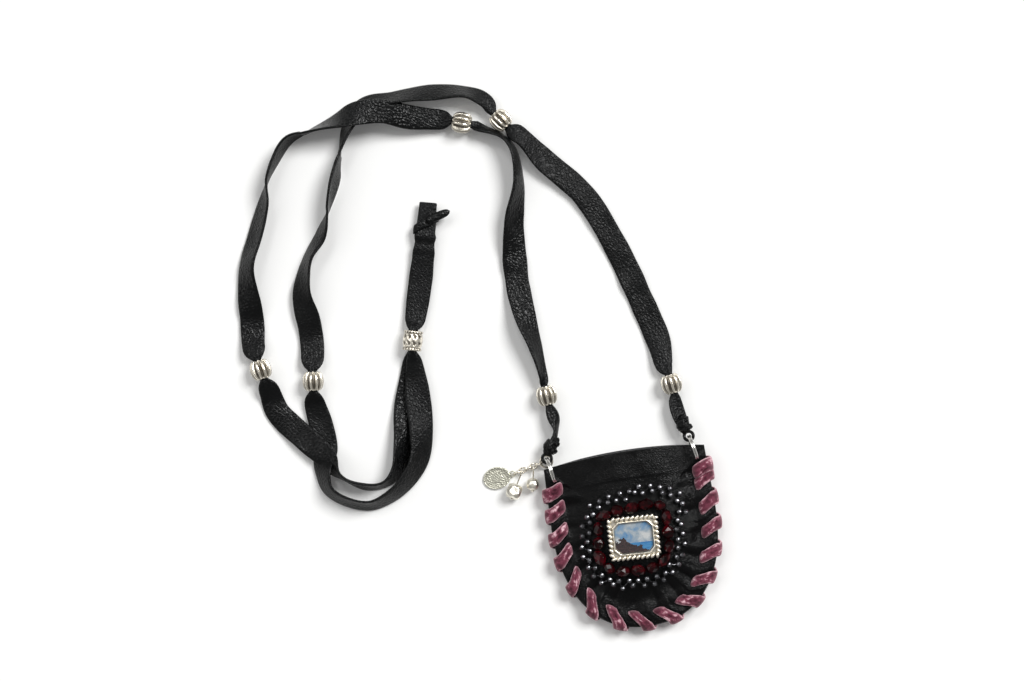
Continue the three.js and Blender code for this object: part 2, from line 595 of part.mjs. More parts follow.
function addNugget(name, pinName, size, corners, link, heading, reach) {
  const at = linkAt[link];
  const hung = addGroup(at.x, at.y, at.z, heading, charms);
  const lift = new THREE.Group();
  lift.rotation.y = -Math.asin((0.59 * size - at.z) / reach);
  hung.add(lift);
  const facets = [[1, 1, 1], [1, 1, -1], [1, -1, 1], [1, -1, -1]].flatMap(([x, y, z]) =>
    [1, -1].map((way) => {
      const normal = new THREE.Vector3(x * way, y * way, z * way).normalize();
      return new THREE.BoxGeometry(size, 2 * size, 2 * size)
        .applyQuaternion(new THREE.Quaternion().setFromUnitVectors(new THREE.Vector3(1, 0, 0), normal))
        .translate(...normal.multiplyScalar(size * (0.5 + corners)).toArray());
    }),
  );
  const bore = new THREE.CylinderGeometry(PIN_WIRE, PIN_WIRE, 2 * size, 6).rotateZ(Math.PI / 2);
  const stone = cut(new THREE.BoxGeometry(size, size, size), [...facets, bore]);
  addMesh(name, stone.translate(reach, 0, 0), BRIGHT, lift);
  const start = 2 * PIN_LOOP - PIN_WIRE;
  const end = reach + size / 2 + GAP;
  const shank = new THREE.CylinderGeometry(PIN_WIRE / 2, PIN_WIRE / 2, end - start, 5)
    .rotateZ(Math.PI / 2)
    .translate((start + end) / 2, 0, 0);
  const head = new THREE.CylinderGeometry(1.6 * PIN_WIRE, 1.6 * PIN_WIRE, PIN_WIRE, 6)
    .rotateZ(Math.PI / 2)
    .translate(end + PIN_WIRE / 2 - 0.05, 0, 0);
  const pinLoop = wireLoop(PIN_LOOP, PIN_LOOP, roundSection(PIN_WIRE, 5), 8)
    .rotateX(Math.PI / 2)
    .translate(PIN_LOOP, 0, 0);
  addMesh(pinName, join(pinLoop, shank, head), BRIGHT, lift);
}

addNugget("nugget_small", "pin_small", NUGGET_SMALL, 0.54, 1, 66, 7.6);
addNugget("nugget_large", "pin_large", NUGGET_LARGE, 0.62, 3, 47, 9.6);

// Neck lace: from the left ring to the slider, up the tail, folded and back to the right ring.
const MELON_Z = MELON_DIAMETER / 2;
const SLIDER_Z = SLIDER_DIAMETER / 2;
const LAYER = LACE_THICKNESS + 0.5;
const SLIDER_LAYER = GATHERED_THICKNESS / 2 + 0.2;
const KNOT_OUT = 3.3;
const KNOT_Z = RIM_HEIGHT + 0.6;

function ringLoopAt(side) {
  return ringMiddle(side).addScaledVector(ringWay, RING_REACH);
}

function knotAt(side, route) {
  const loop = ringLoopAt(side);
  const way = new THREE.Vector2(route[0][0], route[0][1]).sub(loop).normalize();
  return loop.addScaledVector(way, KNOT_OUT);
}

function restingZ(lift, roll, width) {
  const lean = radians(roll);
  return lift + (width / 2) * Math.abs(Math.sin(lean)) + (LACE_THICKNESS / 2) * Math.abs(Math.cos(lean));
}

// Every station of one run, from the knot to the end of the tail; beads are straight passages.
function laceRun(side, route, upper) {
  const knot = knotAt(side, route);
  const layer = upper ? LAYER : 0;
  const slider = { at: SLIDER_AT, z: SLIDER_Z + (upper ? SLIDER_LAYER : -SLIDER_LAYER), bead: SLIDER_LENGTH };
  const entries = [
    { at: [knot.x, knot.y], z: KNOT_Z, roll: 30, width: 3.6 },
    ...route.map(([x, y, lift, roll, width]) =>
      lift === undefined
        ? { at: [x, y], z: MELON_Z, bead: MELON_LENGTH }
        : { at: [x, y], z: restingZ(lift, roll, width), roll, width },
    ),
    slider,
    ...TAIL.map(([x, y, lift, width]) => ({
      at: [x, y], z: restingZ(lift, 0, width) + layer, roll: 0, width,
    })),
  ].map((entry) => ({ ...entry, point: new THREE.Vector3(...entry.at, entry.z) }));
  const stations = entries.flatMap((entry, i) => {
    if (!entry.bead) return [{ ...entry, thickness: LACE_THICKNESS }];
    const way = entries[i + 1].point.clone().sub(entries[i - 1].point).setZ(0).normalize();
    return [-1, 1].map((end) => ({
      point: entry.point.clone().addScaledVector(way, end * (entry.bead / 2 + 0.6)),
      roll: 0,
      width: GATHERED_WIDTH,
      thickness: GATHERED_THICKNESS,
    }));
  });
  const beads = entries.flatMap((entry, i) => {
    if (!entry.bead || entry === entries[route.length + 1]) return [];
    const way = entries[i + 1].point.clone().sub(entries[i - 1].point);
    return [{ point: entry.point, turn: Math.atan2(way.y, way.x) }];
  });
  return { knot, stations, beads };
}

const leftRun = laceRun(-1, LEFT_ROUTE, false);
const rightRun = laceRun(1, RIGHT_ROUTE, true);
const [tailBefore, tailEnd] = leftRun.stations.slice(-2);
const tailWay = tailEnd.point.clone().sub(tailBefore.point).setZ(0).normalize();
const fold = {
  point: tailEnd.point.clone().addScaledVector(tailWay, LAYER * 0.8).add(new THREE.Vector3(0, 0, LAYER / 2)),
  across: UP.clone().cross(tailWay),
  up: tailWay.clone().negate(),
  section: flatSection(tailEnd.width, LACE_THICKNESS),
};
const backRun = rightRun.stations.map((s) => ({ ...s, roll: 180 - s.roll })).reverse();
const laceStations = [leftRun.stations, backRun].map((run) =>
  run.map(({ point, roll, width, thickness }, i) => {
    const before = run[Math.max(i - 1, 0)].point;
    const after = run[Math.min(i + 1, run.length - 1)].point;
    const tangent = after.clone().sub(before).normalize();
    const level = UP.clone().cross(tangent).normalize();
    const lean = radians(roll);
    const raised = tangent.clone().cross(level);
    const across = level.multiplyScalar(Math.cos(lean)).addScaledVector(raised, Math.sin(lean));
    return { point, across, up: tangent.cross(across), section: flatSection(width, thickness) };
  }),
);

function knotPieces(side, knot) {
  const loop = ringLoopAt(side);
  return [
    new THREE.TorusGeometry(1.8, 0.6, 5, 9).translate(loop.x, loop.y, RIM_HEIGHT),
    new THREE.IcosahedronGeometry(1, 0).scale(2.5, 2.5, 1.6).translate(knot.x, knot.y, KNOT_Z),
  ];
}

addMesh(
  "neck_lace",
  join(
    sweep([...laceStations[0], fold, ...laceStations[1]]),
    ...knotPieces(-1, leftRun.knot),
    ...knotPieces(1, rightRun.knot),
  ),
  BLACK_LEATHER,
);

// Melon beads, fluted and collared, lie on their sides along the lace.
const melon = boredBead(
  [
    [0.32 * MELON_DIAMETER, -MELON_LENGTH / 2, 0],
    [0.5 * MELON_DIAMETER, -0.17 * MELON_LENGTH, 0.1 * MELON_DIAMETER],
    [0.5 * MELON_DIAMETER, 0.17 * MELON_LENGTH, 0.1 * MELON_DIAMETER],
    [0.32 * MELON_DIAMETER, MELON_LENGTH / 2, 0],
  ],
  MELON_BORE,
  2 * MELON_LOBES,
).rotateY(Math.PI / 2);
for (const [run, letter] of [[leftRun, "l"], [rightRun, "r"]]) {
  run.beads.forEach(({ point, turn }, i) => {
    const bead = addMesh(`melon_bead_${letter}${i + 1}`, melon, SILVER);
    bead.position.copy(point);
    bead.rotation.z = turn;
  });
}

// Slider: a barrel with beaded ends, over both runs.
const sliderBead = addMesh(
  "slider_bead",
  boredBead(
    [[0.4, -0.5], [0.48, -0.43], [0.44, -0.34], [0.5, 0], [0.44, 0.34], [0.48, 0.43], [0.4, 0.5]].map(
      ([r, z]) => [r * SLIDER_DIAMETER, z * SLIDER_LENGTH, 0],
    ),
    SLIDER_BORE,
    10,
  ).rotateY(Math.PI / 2),
  SILVER,
);
const sliderWay = new THREE.Vector2(
  TAIL[0][0] - LEFT_ROUTE.at(-1)[0], TAIL[0][1] - LEFT_ROUTE.at(-1)[1],
);
sliderBead.position.set(...SLIDER_AT, SLIDER_Z);
sliderBead.rotation.z = sliderWay.angle();

// Tie: a thong round both layers of the tail with one end standing out. Local Y runs up the tail.
const [tieFrom, tieTo] = TAIL.slice(-2);
const [tieX, tieY, tieLift, tieLace] = tieFrom.map((v, i) => THREE.MathUtils.lerp(v, tieTo[i], TIE_AT));
const tie = addGroup(tieX, tieY, 0, THREE.MathUtils.radToDeg(Math.atan2(tailWay.y, tailWay.x)) - 90);
const TIE_THICKNESS = 0.9;
const bandHalf = tieLace / 2 + 2 * GAP;
const bandFrom = tieLift - 1.4 * GAP;
const bandTo = tieLift + LAYER + LACE_THICKNESS + 1.4 * GAP;
const rectangle = (x, from, to) =>
  [[-x, from], [x, from], [x, to], [-x, to]].map(([a, b]) => new THREE.Vector2(a, b));
const bandShape = new THREE.Shape(
  rectangle(bandHalf + TIE_THICKNESS, bandFrom - TIE_THICKNESS, bandTo + TIE_THICKNESS),
);
bandShape.holes.push(new THREE.Path(rectangle(bandHalf, bandFrom, bandTo)));
const band = new THREE.ExtrudeGeometry(bandShape, { ...plain, depth: TIE_WIDTH })
  .rotateX(Math.PI / 2)
  .translate(0, TIE_WIDTH / 2, 0);
const stub = new THREE.BoxGeometry(8, 2.8, LACE_THICKNESS)
  .translate(4, 0, 0)
  .rotateZ(radians(29))
  .translate(bandHalf + TIE_THICKNESS / 2, 0, bandTo + TIE_THICKNESS / 2 - 0.3);
addMesh("tail_tie", join(band, stub), BLACK_LEATHER, tie);

export default bag;
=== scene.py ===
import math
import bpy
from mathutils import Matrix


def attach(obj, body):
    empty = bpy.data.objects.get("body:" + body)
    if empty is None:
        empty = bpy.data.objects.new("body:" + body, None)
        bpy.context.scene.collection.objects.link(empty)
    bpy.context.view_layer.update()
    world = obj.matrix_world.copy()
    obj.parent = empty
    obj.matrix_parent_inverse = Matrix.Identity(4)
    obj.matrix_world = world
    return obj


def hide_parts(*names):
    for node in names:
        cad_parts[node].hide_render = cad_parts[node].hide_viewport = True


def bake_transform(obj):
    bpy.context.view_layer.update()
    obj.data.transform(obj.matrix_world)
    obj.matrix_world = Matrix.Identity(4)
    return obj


bl_info = {
    "name": "Beaded Medicine Bag",
    "version": (1, 0, 0),
    "blender": (4, 5, 0),
    "location": "3D View > Sidebar > Medicine Bag",
    "description": "Leather, velvet, silver, stones and neck lace for a small laced pouch",
    "category": "Object",
}

from bisect import bisect_right

import bmesh
import bpy
from bpy.props import FloatProperty, FloatVectorProperty, IntProperty, PointerProperty
from mathutils import Matrix, Vector, noise

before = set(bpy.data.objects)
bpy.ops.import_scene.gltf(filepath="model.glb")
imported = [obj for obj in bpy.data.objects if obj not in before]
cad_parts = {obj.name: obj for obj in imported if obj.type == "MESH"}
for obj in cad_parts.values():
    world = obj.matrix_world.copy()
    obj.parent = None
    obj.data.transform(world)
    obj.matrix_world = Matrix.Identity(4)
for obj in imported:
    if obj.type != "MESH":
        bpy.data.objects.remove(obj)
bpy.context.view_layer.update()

# Lengths below are millimetres in the bag's own frame; meshes are made in metres.
MM = 0.001
TAU = 2 * math.pi
UP = Vector((0, 0, 1))

# Pouch: straight sides under the mouth, then a rounded U; the two panels part towards the middle.
HALF_WIDTH = 34.5
MOUTH_HALF = 33.8
MOUTH_Y = 35.0
MOUTH_ARCH = 2.8
WIDEST_Y = 10.0
U_DEPTH = 46.0
U_POWER = 2.3
LEATHER = 1.2
GAP = 0.3
RIM_Z = 5.0
FRONT_RISE = 4.4
BACK_DROP = 5.2
FLAT_FROM = 0.78
HEM_DEPTH = 12.5
HEM_THICK = 0.9
SEWN_HALF = 27.0
SEWN_INSET = 1.7
# Both panels are built in rings round this point.
MIDDLE = Vector((0, 2))

# Lacing: the middle of each stitch along the rim, from the left corner of the mouth,
# and how far its two ends lie apart there.
STITCH_MIDDLES = [
    9.6, 17.6, 27.3, 37.0, 48.7, 61.4, 74.3, 86.2, 98.3, 110.5, 122.3, 134.3, 145.7, 156.4, 166.6, 171.2,
]
STITCH_LEANS = [2.5, 3.6, 4.2, 4.8, 5.8, 7.0, 6.6, 6.2, 5.8, 5.4, 5.0, 4.4, 4.0, 3.8, 3.4, 2.2]
STITCHES = len(STITCH_MIDDLES)
SLIT_INSET = 5.9
LACING_WIDTH = 5.9
LACING_THICK = 0.8
# The last stitch lies partly over the one before it.
LAST_LIFT = 0.8

# Leather beside a stitch: how far in the puckers fade, the hollow under the ribbon, the swell beside it,
# the slit, the line of tension that runs inward from the slit, and loose lumps.
PUCKER_FADE = 7.5
STITCH_HOLLOW = 3.4
SWELL_REACH = 9.0
SLIT_HALF = 1.7
SLIT_WIDTH = 0.75
SLIT_DEPTH = 0.75
PULL_WIDTH = 1.5
PULL_INSET = 11.0
PULL_REACH = 4.0
LUMP_SIZE = 6.5
LUMP_INSET = 10.0
LUMP_REACH = 7.0
# Distances from the frame between which loose leather begins to be uneven.
BARE_FROM = 22.0
BARE_FULLY = 29.7

# Ornament.
FRAME_AT = Vector((-1.4, 2.0))
FRAME_TURN = math.radians(-3)
FRAME_SIZE = (21.8, 18.6)
FRAME_BORDER = 2.9
FRAME_DEPTH = 3.0
ROPE = 1.9
GARNETS = 16
GARNET_LENGTH = 6.2
GARNET_WIDTH = 5.0
SEEDS = 64
SEED = 2.7
GARNET_LOOP = [
    (0.9, 13), (8, 13.4), (14.8, 11), (15, 2), (14.4, -7), (9.4, -13.4), (0, -14.4), (-9, -13.4),
    (-15.6, -8.6), (-15.4, 2), (-12.4, 11),
]
SEED_LOOP = [
    (-20.4, -0.9), (-19.6, -8.5), (-15.8, -15), (-8.6, -18.2), (0.7, -19), (8.5, -18.6), (14.8, -14),
    (18.8, -7.6), (19, 0.6), (21.5, 8.5), (19.5, 15.2), (12.5, 18), (5.5, 19.2), (-1.5, 17.4),
    (-9, 16.8), (-15, 14), (-18.4, 7.5),
]

# Rings and charms.
RING_DIAMETER = 11.4
RING_WIRE = 0.8
RING_LEAN = math.radians(10)
RING_HOLE = (30.0, 29.4)
RING_RADIUS = (RING_DIAMETER - RING_WIRE) / 2
RING_Z = RING_DIAMETER / 2 + 0.2
RING_REACH = math.sqrt(RING_RADIUS**2 - (RING_Z - RIM_Z) ** 2)
RING_WAY = Vector((-math.sin(RING_LEAN), math.cos(RING_LEAN), 0))
# Height at which the charms' jump ring hangs in the left ring.
HOOK_Z = 2.4
CHAIN_HEADING = math.radians(192)
JUMP_RADIUS = 2.5
JUMP_WIRE = 0.9
LINK_LENGTH = 4.0
LINK_WIDTH = 2.7
LINK_WIRE = 0.6
LINK_HEIGHTS = [2.35, 2.2, 2.0, 1.85, 1.7]
DISC_LENGTH = 11.6
DISC_WIDTH = 9.2
DISC_THICK = 1.0
DISC_TURN = math.radians(-6)
EYE = 1.1

# Neck lace and its beads.
FULL = 10.2
LACE_THICK = 1.1
# Width and thickness inside a bead, and how far from it the lace is flat again.
GATHERED = (2.6, 1.7)
SHOULDER = 6.5
MELON_DIAMETER = 8.8
MELON_LENGTH = 8.0
MELON_BORE = 4.1
SLIDER_DIAMETER = 8.4
SLIDER_LENGTH = 8.4
SLIDER_BORE = 5.6
SLIDER_AT = (-79.5, 97)
CARVING = 0.34
# From one run of the lace to the other that lies on it.
LAYER = LACE_THICK + 0.5
KNOT_REACH = 3.3
KNOT_RISE = 0.6
# From each ring to the slider: x, y, lift off the table, roll in degrees and width; a pair is a bead.
LEFT_ROUTE = [
    (-26.6, 50.3, 1.5, 75, 5), (-26.4, 55.8, 2.5, 20, 5.5), (-27.8, 65.6), (-27.9, 73, 3, 40, 5),
    (-29.4, 87.3, 0.5, 50, 9), (-31.4, 98.8, 0, 30, FULL), (-32.5, 115.8, 0, 0, FULL),
    (-30.2, 138, 0, 35, FULL), (-25.4, 156, 0, 66, FULL), (-25.8, 169.6, 0, 78, FULL),
    (-30.1, 175.9, 0, 80, 8), (-38.2, 180.8, 2, 45, 6), (-45, 183.9), (-53.9, 186.6, 3, 0, 9),
    (-66.2, 189.4, 5, 0, FULL), (-77.1, 193.3, 8.5, 0, FULL), (-87.7, 193.9, 9, 12, FULL),
    (-97.2, 192.4, 4, 55, FULL), (-110.8, 189.9, 0.5, 88, FULL), (-118.5, 187.3, 0, 105, FULL),
    (-128.8, 173.2, 0, 90, FULL), (-132.3, 163.1, 0, 60, FULL), (-137.3, 151.6, 0, 50, FULL),
    (-143.2, 138, 0, 50, FULL), (-144.8, 116.2, 0, 0, FULL), (-145.7, 105.3, 1.5, 0, 9.6), (-144.2, 95),
    (-142.2, 86, 1.5, 0, 8.8), (-140.3, 76.4, 0, 0, FULL), (-130.8, 64, 1.8, 0, FULL),
    (-123.6, 55.4, 2.4, 10, FULL), (-118.3, 45.9, 0.5, 78, FULL), (-108.7, 39.7, 0, 75, FULL),
    (-100.2, 39.6, 0, 75, FULL), (-93.8, 44.8, 0, 58, FULL), (-89.7, 56.4, 0, 32, FULL),
    (-86.3, 70.8, 0, 4, FULL), (-81.8, 88.4, 1, 0, 7),
]
RIGHT_ROUTE = [
    (26.1, 46.4, 2.5, 25, 6), (24.9, 54, 3, 15, 6.2), (24.5, 62.3), (22.8, 69.7, 3, 0, 7.5),
    (22.2, 80.4, 0.5, 0, FULL), (17.4, 99.9, 0, 0, FULL), (10.2, 124, 0, 0, FULL),
    (0.8, 146, 0, 8, FULL), (-13.2, 163, 1, 15, FULL), (-21.1, 174, 2.5, 30, 8.5), (-28.8, 182.3),
    (-33.3, 190.8, 2.5, 20, 6.5), (-40.2, 195.7, 0, 58, FULL), (-55, 198.2, 0, 46, FULL),
    (-72, 198.6, 0, 58, FULL), (-84.6, 197.2, 0, 45, FULL), (-92.4, 189.5, 0, 60, FULL),
    (-97.3, 178.8, 0, 88, FULL), (-100.8, 168.7, 0, 108, FULL), (-105, 158.4, 0, 95, FULL),
    (-110.5, 146.5, 0, 60, FULL), (-117.4, 137.8, 0, 66, FULL), (-122, 125, 0, 42, FULL),
    (-121.3, 110.3, 0, 5, FULL), (-121.6, 100.6, 1.5, 0, 9.8), (-123.3, 86.8), (-124.2, 77.2, 1.5, 0, 8.8),
    (-123.1, 68.1, 0, 0, FULL), (-122.7, 58.3, 0, 0, FULL), (-125, 49.3, 0, 45, FULL),
    (-124.2, 41.1, 0, 62, FULL), (-117.9, 35.2, 0, 66, FULL), (-108.2, 31.7, 0, 66, FULL),
    (-98.9, 34.1, 0, 60, FULL), (-90.8, 39.6, 0, 50, FULL), (-84.4, 47.9, 0, 40, FULL),
    (-81.9, 59.5, 1.9, 20, FULL), (-81, 76.3, 1.9, 0, FULL), (-80.3, 88.5, 3, 0, 7),
]
# The doubled tail beyond the slider: x, y, lift and width.
TAIL = [(-77.5, 104.7, 0.9, 8.8), (-72.7, 120.5, 0, 10), (-68.2, 136.8, 1.2, 8.6), (-64.4, 151.9, 1.5, 7.4)]
# The tie's place as a share of the tail's last stretch, its band, and the end that sticks out.
TIE_AT = 0.72
TIE_WIDTH = 4.0
TIE_THICK = 0.85
TIE_SLANT = 3.2
STUB_LENGTH = 10.4
STUB_WIDTH = 3.2
STUB_LEAN = math.radians(29)
# How much lace either side of the slider would give way when it slides; the shares worked out from them are
# not used.
TAIL_ROOM = 41.0
LOOP_ROOM = 42.0
# Soft waves, cupping and the crumpled stretch behind the tie.
WAVE_HEIGHT = 2.2
CUP_HEIGHT = 1.3
CRUMPLE_AT = 12.0
CRUMPLE_REACH = 8.0
CRUMPLE_HEIGHT = 1.1

# The view of the photograph: straight down, turned a little, in metres.
VIEW_TURN = math.radians(-9)
VIEW_CENTRE = Vector((-0.0385, 0.0906, 0))
VIEW_ACROSS = 0.43


class PouchSettings(bpy.types.PropertyGroup):
    leather: FloatVectorProperty(
        name="Leather", description="Tone of the pouch's black leather", subtype="COLOR",
        default=(0.0011, 0.0012, 0.0013), min=0, max=1,
    )
    grain: FloatProperty(
        name="Grain", description="Width of one pebble of the leather", unit="LENGTH",
        default=0.0009, min=0.0002, max=0.004,
    )
    pucker: FloatProperty(
        name="Pucker", description="How far the leather swells between two stitches", unit="LENGTH",
        default=0.0009, min=0, max=0.0015,
    )
    velvet: FloatVectorProperty(
        name="Velvet", description="Main colour of the velvet ribbon", subtype="COLOR",
        default=(0.142, 0.036, 0.057), min=0, max=1,
    )
    # Colour of the painted sheen on the velvet's edges and turned-away faces; also its lightest crushed tone
    # and its sheen tint.
    nap_and_sheen: FloatVectorProperty(
        name="Nap", description="Pale colour of the velvet's brushed edges", subtype="COLOR",
        default=(0.78, 0.5, 0.55), min=0, max=1,
    )


class OrnamentSettings(bpy.types.PropertyGroup):
    silver: FloatVectorProperty(
        name="Silver", description="Colour of the antique silver", subtype="COLOR",
        default=(0.94, 0.88, 0.76), min=0, max=1,
    )
    garnet: FloatVectorProperty(
        name="Garnet", description="Colour inside the dark red stones", subtype="COLOR",
        default=(0.065, 0.0012, 0.004), min=0, max=1,
    )
    rope_lay: FloatProperty(
        name="Rope lay", description="Step from one strand of the rope border to the next", unit="LENGTH",
        default=0.002, min=0.0008, max=0.004,
    )
    seed_facets: IntProperty(
        name="Seed facets", description="Facets round one seed bead", default=7, min=5, max=16,
    )


class StrapSettings(bpy.types.PropertyGroup):
    lace: FloatVectorProperty(
        name="Lace", description="Tone of the neck lace's black leather", subtype="COLOR",
        default=(0.0013, 0.0015, 0.0016), min=0, max=1,
    )
    lobes: IntProperty(
        name="Lobes", description="Ribs round one fluted bead", default=10, min=5, max=16,
    )
    groove: FloatProperty(
        name="Groove", description="Depth of a fluted bead's grooves", unit="LENGTH",
        default=0.0013, min=0, max=0.002,
    )


class StageSettings(bpy.types.PropertyGroup):
    camera_height: FloatProperty(
        name="Camera height", description="Height of the camera above the table", unit="LENGTH",
        default=1.0, min=0.4, max=3,
    )
    key_light: FloatProperty(
        name="Key light", description="Strength of the soft light from the upper right",
        default=2.75, min=0, max=10,
    )
    surround: FloatProperty(
        name="Surround", description="Strength of the light from all round", default=0.15, min=0, max=2,
    )
    ceiling: FloatProperty(
        name="Ceiling", description="Brightness of the room that metal and stones mirror",
        default=0.33, min=0, max=2,
    )
    floor: FloatVectorProperty(
        name="Floor", description="Colour of the table top", subtype="COLOR",
        default=(0.9, 0.9, 0.89), min=0, max=1,
    )


SETTINGS = {
    "bag_pouch": PouchSettings,
    "bag_ornament": OrnamentSettings,
    "bag_strap": StrapSettings,
    "bag_stage": StageSettings,
}


# Mesh making


class Clay:
    """Points in millimetres, faces and their UV corners, gathered into one mesh."""

    def __init__(self):
        self.points = []
        self.faces = []
        self.corners = []
        self.hollow = []

    def skin(self, rows, loop=False, caps=True, hollow=None):
        """Faces between rows of points; hollow gives each point's depth in a recess, from 0 to 1."""
        first = len(self.points)
        around = len(rows[0])
        count = len(rows)
        run = run_lengths([row[0] for row in (*rows, rows[0])])
        for i, row in enumerate(rows):
            self.points.extend(row)
            self.hollow.extend(hollow[i] if hollow else [0.0] * around)
        for i in range(count if loop else count - 1):
            here = first + i * around
            there = first + (i + 1) % count * around
            for j in range(around):
                k = (j + 1) % around
                v = j / around
                w = (j + 1) / around
                self.faces.append((here + j, here + k, there + k, there + j))
                self.corners.extend([(run[i], v), (run[i], w), (run[i + 1], w), (run[i + 1], v)])
        if caps and not loop:
            last = first + (count - 1) * around
            self.face(range(first + around - 1, first - 1, -1))
            self.face(range(last, last + around), run[-2])
        return self

    def face(self, ring, along=0.0):
        """One face that takes a single place on the UV map, in the middle of a ribbon's underside."""
        self.faces.append(tuple(ring))
        self.corners.extend([(along, 0.25)] * len(self.faces[-1]))

    def solid(self, points, faces):
        first = len(self.points)
        self.points.extend(points)
        self.hollow.extend([0.0] * len(points))
        for face in faces:
            self.face(first + i for i in face)
        return self

    def piece(self, name, finish, smooth=True):
        mesh = bpy.data.meshes.new(name)
        mesh.from_pydata([p * MM for p in self.points], [], self.faces)
        layer = mesh.uv_layers.new(name="along")
        layer.data.foreach_set("uv", [c for pair in self.corners for c in pair])
        depth = mesh.attributes.new("hollow", "FLOAT", "POINT")
        depth.data.foreach_set("value", self.hollow)
        mesh.materials.append(finish)
        shape = bmesh.new()
        shape.from_mesh(mesh)
        bmesh.ops.recalc_face_normals(shape, faces=shape.faces)
        for face in shape.faces:
            face.smooth = smooth
        shape.to_mesh(mesh)
        shape.free()
        return show(name, mesh)


def show(name, mesh):
    obj = bpy.data.objects.new(name, mesh)
    bpy.context.scene.collection.objects.link(obj)
    return obj


def settle(obj, body, slot, *nodes):
    """The piece rides on a body and stands for these nodes; slot is not used."""
    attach(obj, body)
    if nodes:
        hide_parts(*nodes)
    return obj


def baked(obj):
    """Modifiers become the object's plain mesh."""
    mesh = bpy.data.meshes.new_from_object(obj.evaluated_get(bpy.context.evaluated_depsgraph_get()))
    old = obj.data
    obj.modifiers.clear()
    obj.data = mesh
    mesh.name = obj.name
    bpy.data.meshes.remove(old)
    return obj


def worn_edges(obj, width, degrees):
    """Rounds the edges that turn by more than some degrees."""
    bevel = obj.modifiers.new("worn_edges", "BEVEL")
    bevel.width = width
    bevel.segments = 2
    bevel.limit_method = "ANGLE"
    bevel.angle_limit = math.radians(degrees)
    return baked(obj)


def placed(at, turn):
    """The place of a piece at a point, turned about the upright."""
    return Matrix.Translation(at) @ Matrix.Rotation(turn, 4, "Z")


class Grower:
    """A Geometry Nodes tree with named inputs that ends in one plain mesh."""

    KINDS = {float: "NodeSocketFloat", int: "NodeSocketInt", tuple: "NodeSocketVector"}

    def __init__(self, name, **inputs):
        self.tree = bpy.data.node_groups.new(name, "GeometryNodeTree")
        face = self.tree.interface
        face.new_socket("Geometry", in_out="INPUT", socket_type="NodeSocketGeometry")
        face.new_socket("Geometry", in_out="OUTPUT", socket_type="NodeSocketGeometry")
        self.values = {}
        for label, value in inputs.items():
            socket = face.new_socket(label, in_out="INPUT", socket_type=self.KINDS[type(value)])
            self.values[socket.identifier] = value
        self.source = self.tree.nodes.new("NodeGroupInput").outputs
        self.result = self.tree.nodes.new("NodeGroupOutput").inputs["Geometry"]

    def add(self, kind, inputs, **settings):
        node = self.tree.nodes.new(kind)
        for key, value in settings.items():
            setattr(node, key, value)
        for key, value in inputs.items():
            if isinstance(value, bpy.types.NodeSocket):
                self.tree.links.new(value, node.inputs[key])
            else:
                node.inputs[key].default_value = value
        return node.outputs[0]

    def wire_ring(self, radius, wire, around, sides, stretch=(1, 1, 1)):
        """A closed loop of wire in its own XY plane."""
        ring = self.add("GeometryNodeCurvePrimitiveCircle", {"Resolution": around, "Radius": radius})
        shaped = self.add("GeometryNodeTransform", {"Geometry": ring, "Scale": stretch})
        profile = self.add("GeometryNodeCurvePrimitiveCircle", {"Resolution": sides, "Radius": wire})
        return self.add("GeometryNodeCurveToMesh", {"Curve": shaped, "Profile Curve": profile})

    def path(self):
        """The source's edges as a curve."""
        return self.add("GeometryNodeMeshToCurve", {"Mesh": self.source["Geometry"]})

    def marks(self, spacing):
        """Points along the source's edges, at the spacing that an input names."""
        inputs = {"Curve": self.path(), "Length": self.source[spacing]}
        return self.add("GeometryNodeResampleCurve", inputs, mode="LENGTH")

    def ball(self, around, rings, radius, stretch):
        ball = self.add("GeometryNodeMeshUVSphere", {"Segments": around, "Rings": rings, "Radius": radius})
        return self.add("GeometryNodeTransform", {"Geometry": ball, "Scale": stretch})

    def copies(self, points, instance, **placing):
        return self.add("GeometryNodeInstanceOnPoints", {"Points": points, "Instance": instance, **placing})

    def along(self, turn=(0.0, 0.0, 0.0)):
        """A rotation with local X along the curve, then turned in its own frame."""
        tangent = self.add("GeometryNodeInputTangent", {})
        facing = self.add("FunctionNodeAlignRotationToVector", {"Vector": tangent}, axis="X", pivot_axis="Z")
        more = self.add("FunctionNodeEulerToRotation", {0: turn})
        return self.add("FunctionNodeRotateRotation", {0: facing, 1: more}, rotation_space="LOCAL")

    def grow(self, name, seed_points, edges, finish, geometry, smooth=True):
        """Runs the tree on a mesh of points and edges, in millimetres."""
        shaded = self.add("GeometryNodeSetShadeSmooth", {"Geometry": geometry, "Shade Smooth": smooth})
        real = self.add("GeometryNodeRealizeInstances", {"Geometry": shaded})
        done = self.add("GeometryNodeSetMaterial", {"Geometry": real, "Material": finish})
        self.tree.links.new(done, self.result)
        mesh = bpy.data.meshes.new(name)
        mesh.from_pydata([Vector(p) * MM for p in seed_points], edges, [])
        obj = show(name, mesh)
        modifier = obj.modifiers.new(name, "NODES")
        modifier.node_group = self.tree
        for identifier, value in self.values.items():
            modifier[identifier] = value
        return baked(obj)


def smooth_run(stations, step):
    """A centripetal spline through lists that start with x, y, z, about one list per step."""
    stations = [list(s) for s in stations]
    before = [2 * a - b for a, b in zip(stations[0], stations[1])]
    after = [2 * a - b for a, b in zip(stations[-1], stations[-2])]
    knots = [before, *stations, after]
    out = []
    for i in range(1, len(knots) - 2):
        four = knots[i - 1 : i + 3]
        t = [0.0]
        for a, b in zip(four, four[1:]):
            t.append(t[-1] + max(math.dist(a[:3], b[:3]), 1e-6) ** 0.5)
        count = max(1, round(math.dist(four[1][:3], four[2][:3]) / step))
        for k in range(count):
            at = t[1] + (t[2] - t[1]) * k / count
            level = four
            for span in (1, 2, 3):
                level = [
                    blend_lists(level[j], level[j + 1], *spline_window(t, j, span, at))
                    for j in range(len(level) - 1)
                ]
            out.append(level[0])
    return [*out, stations[-1]]


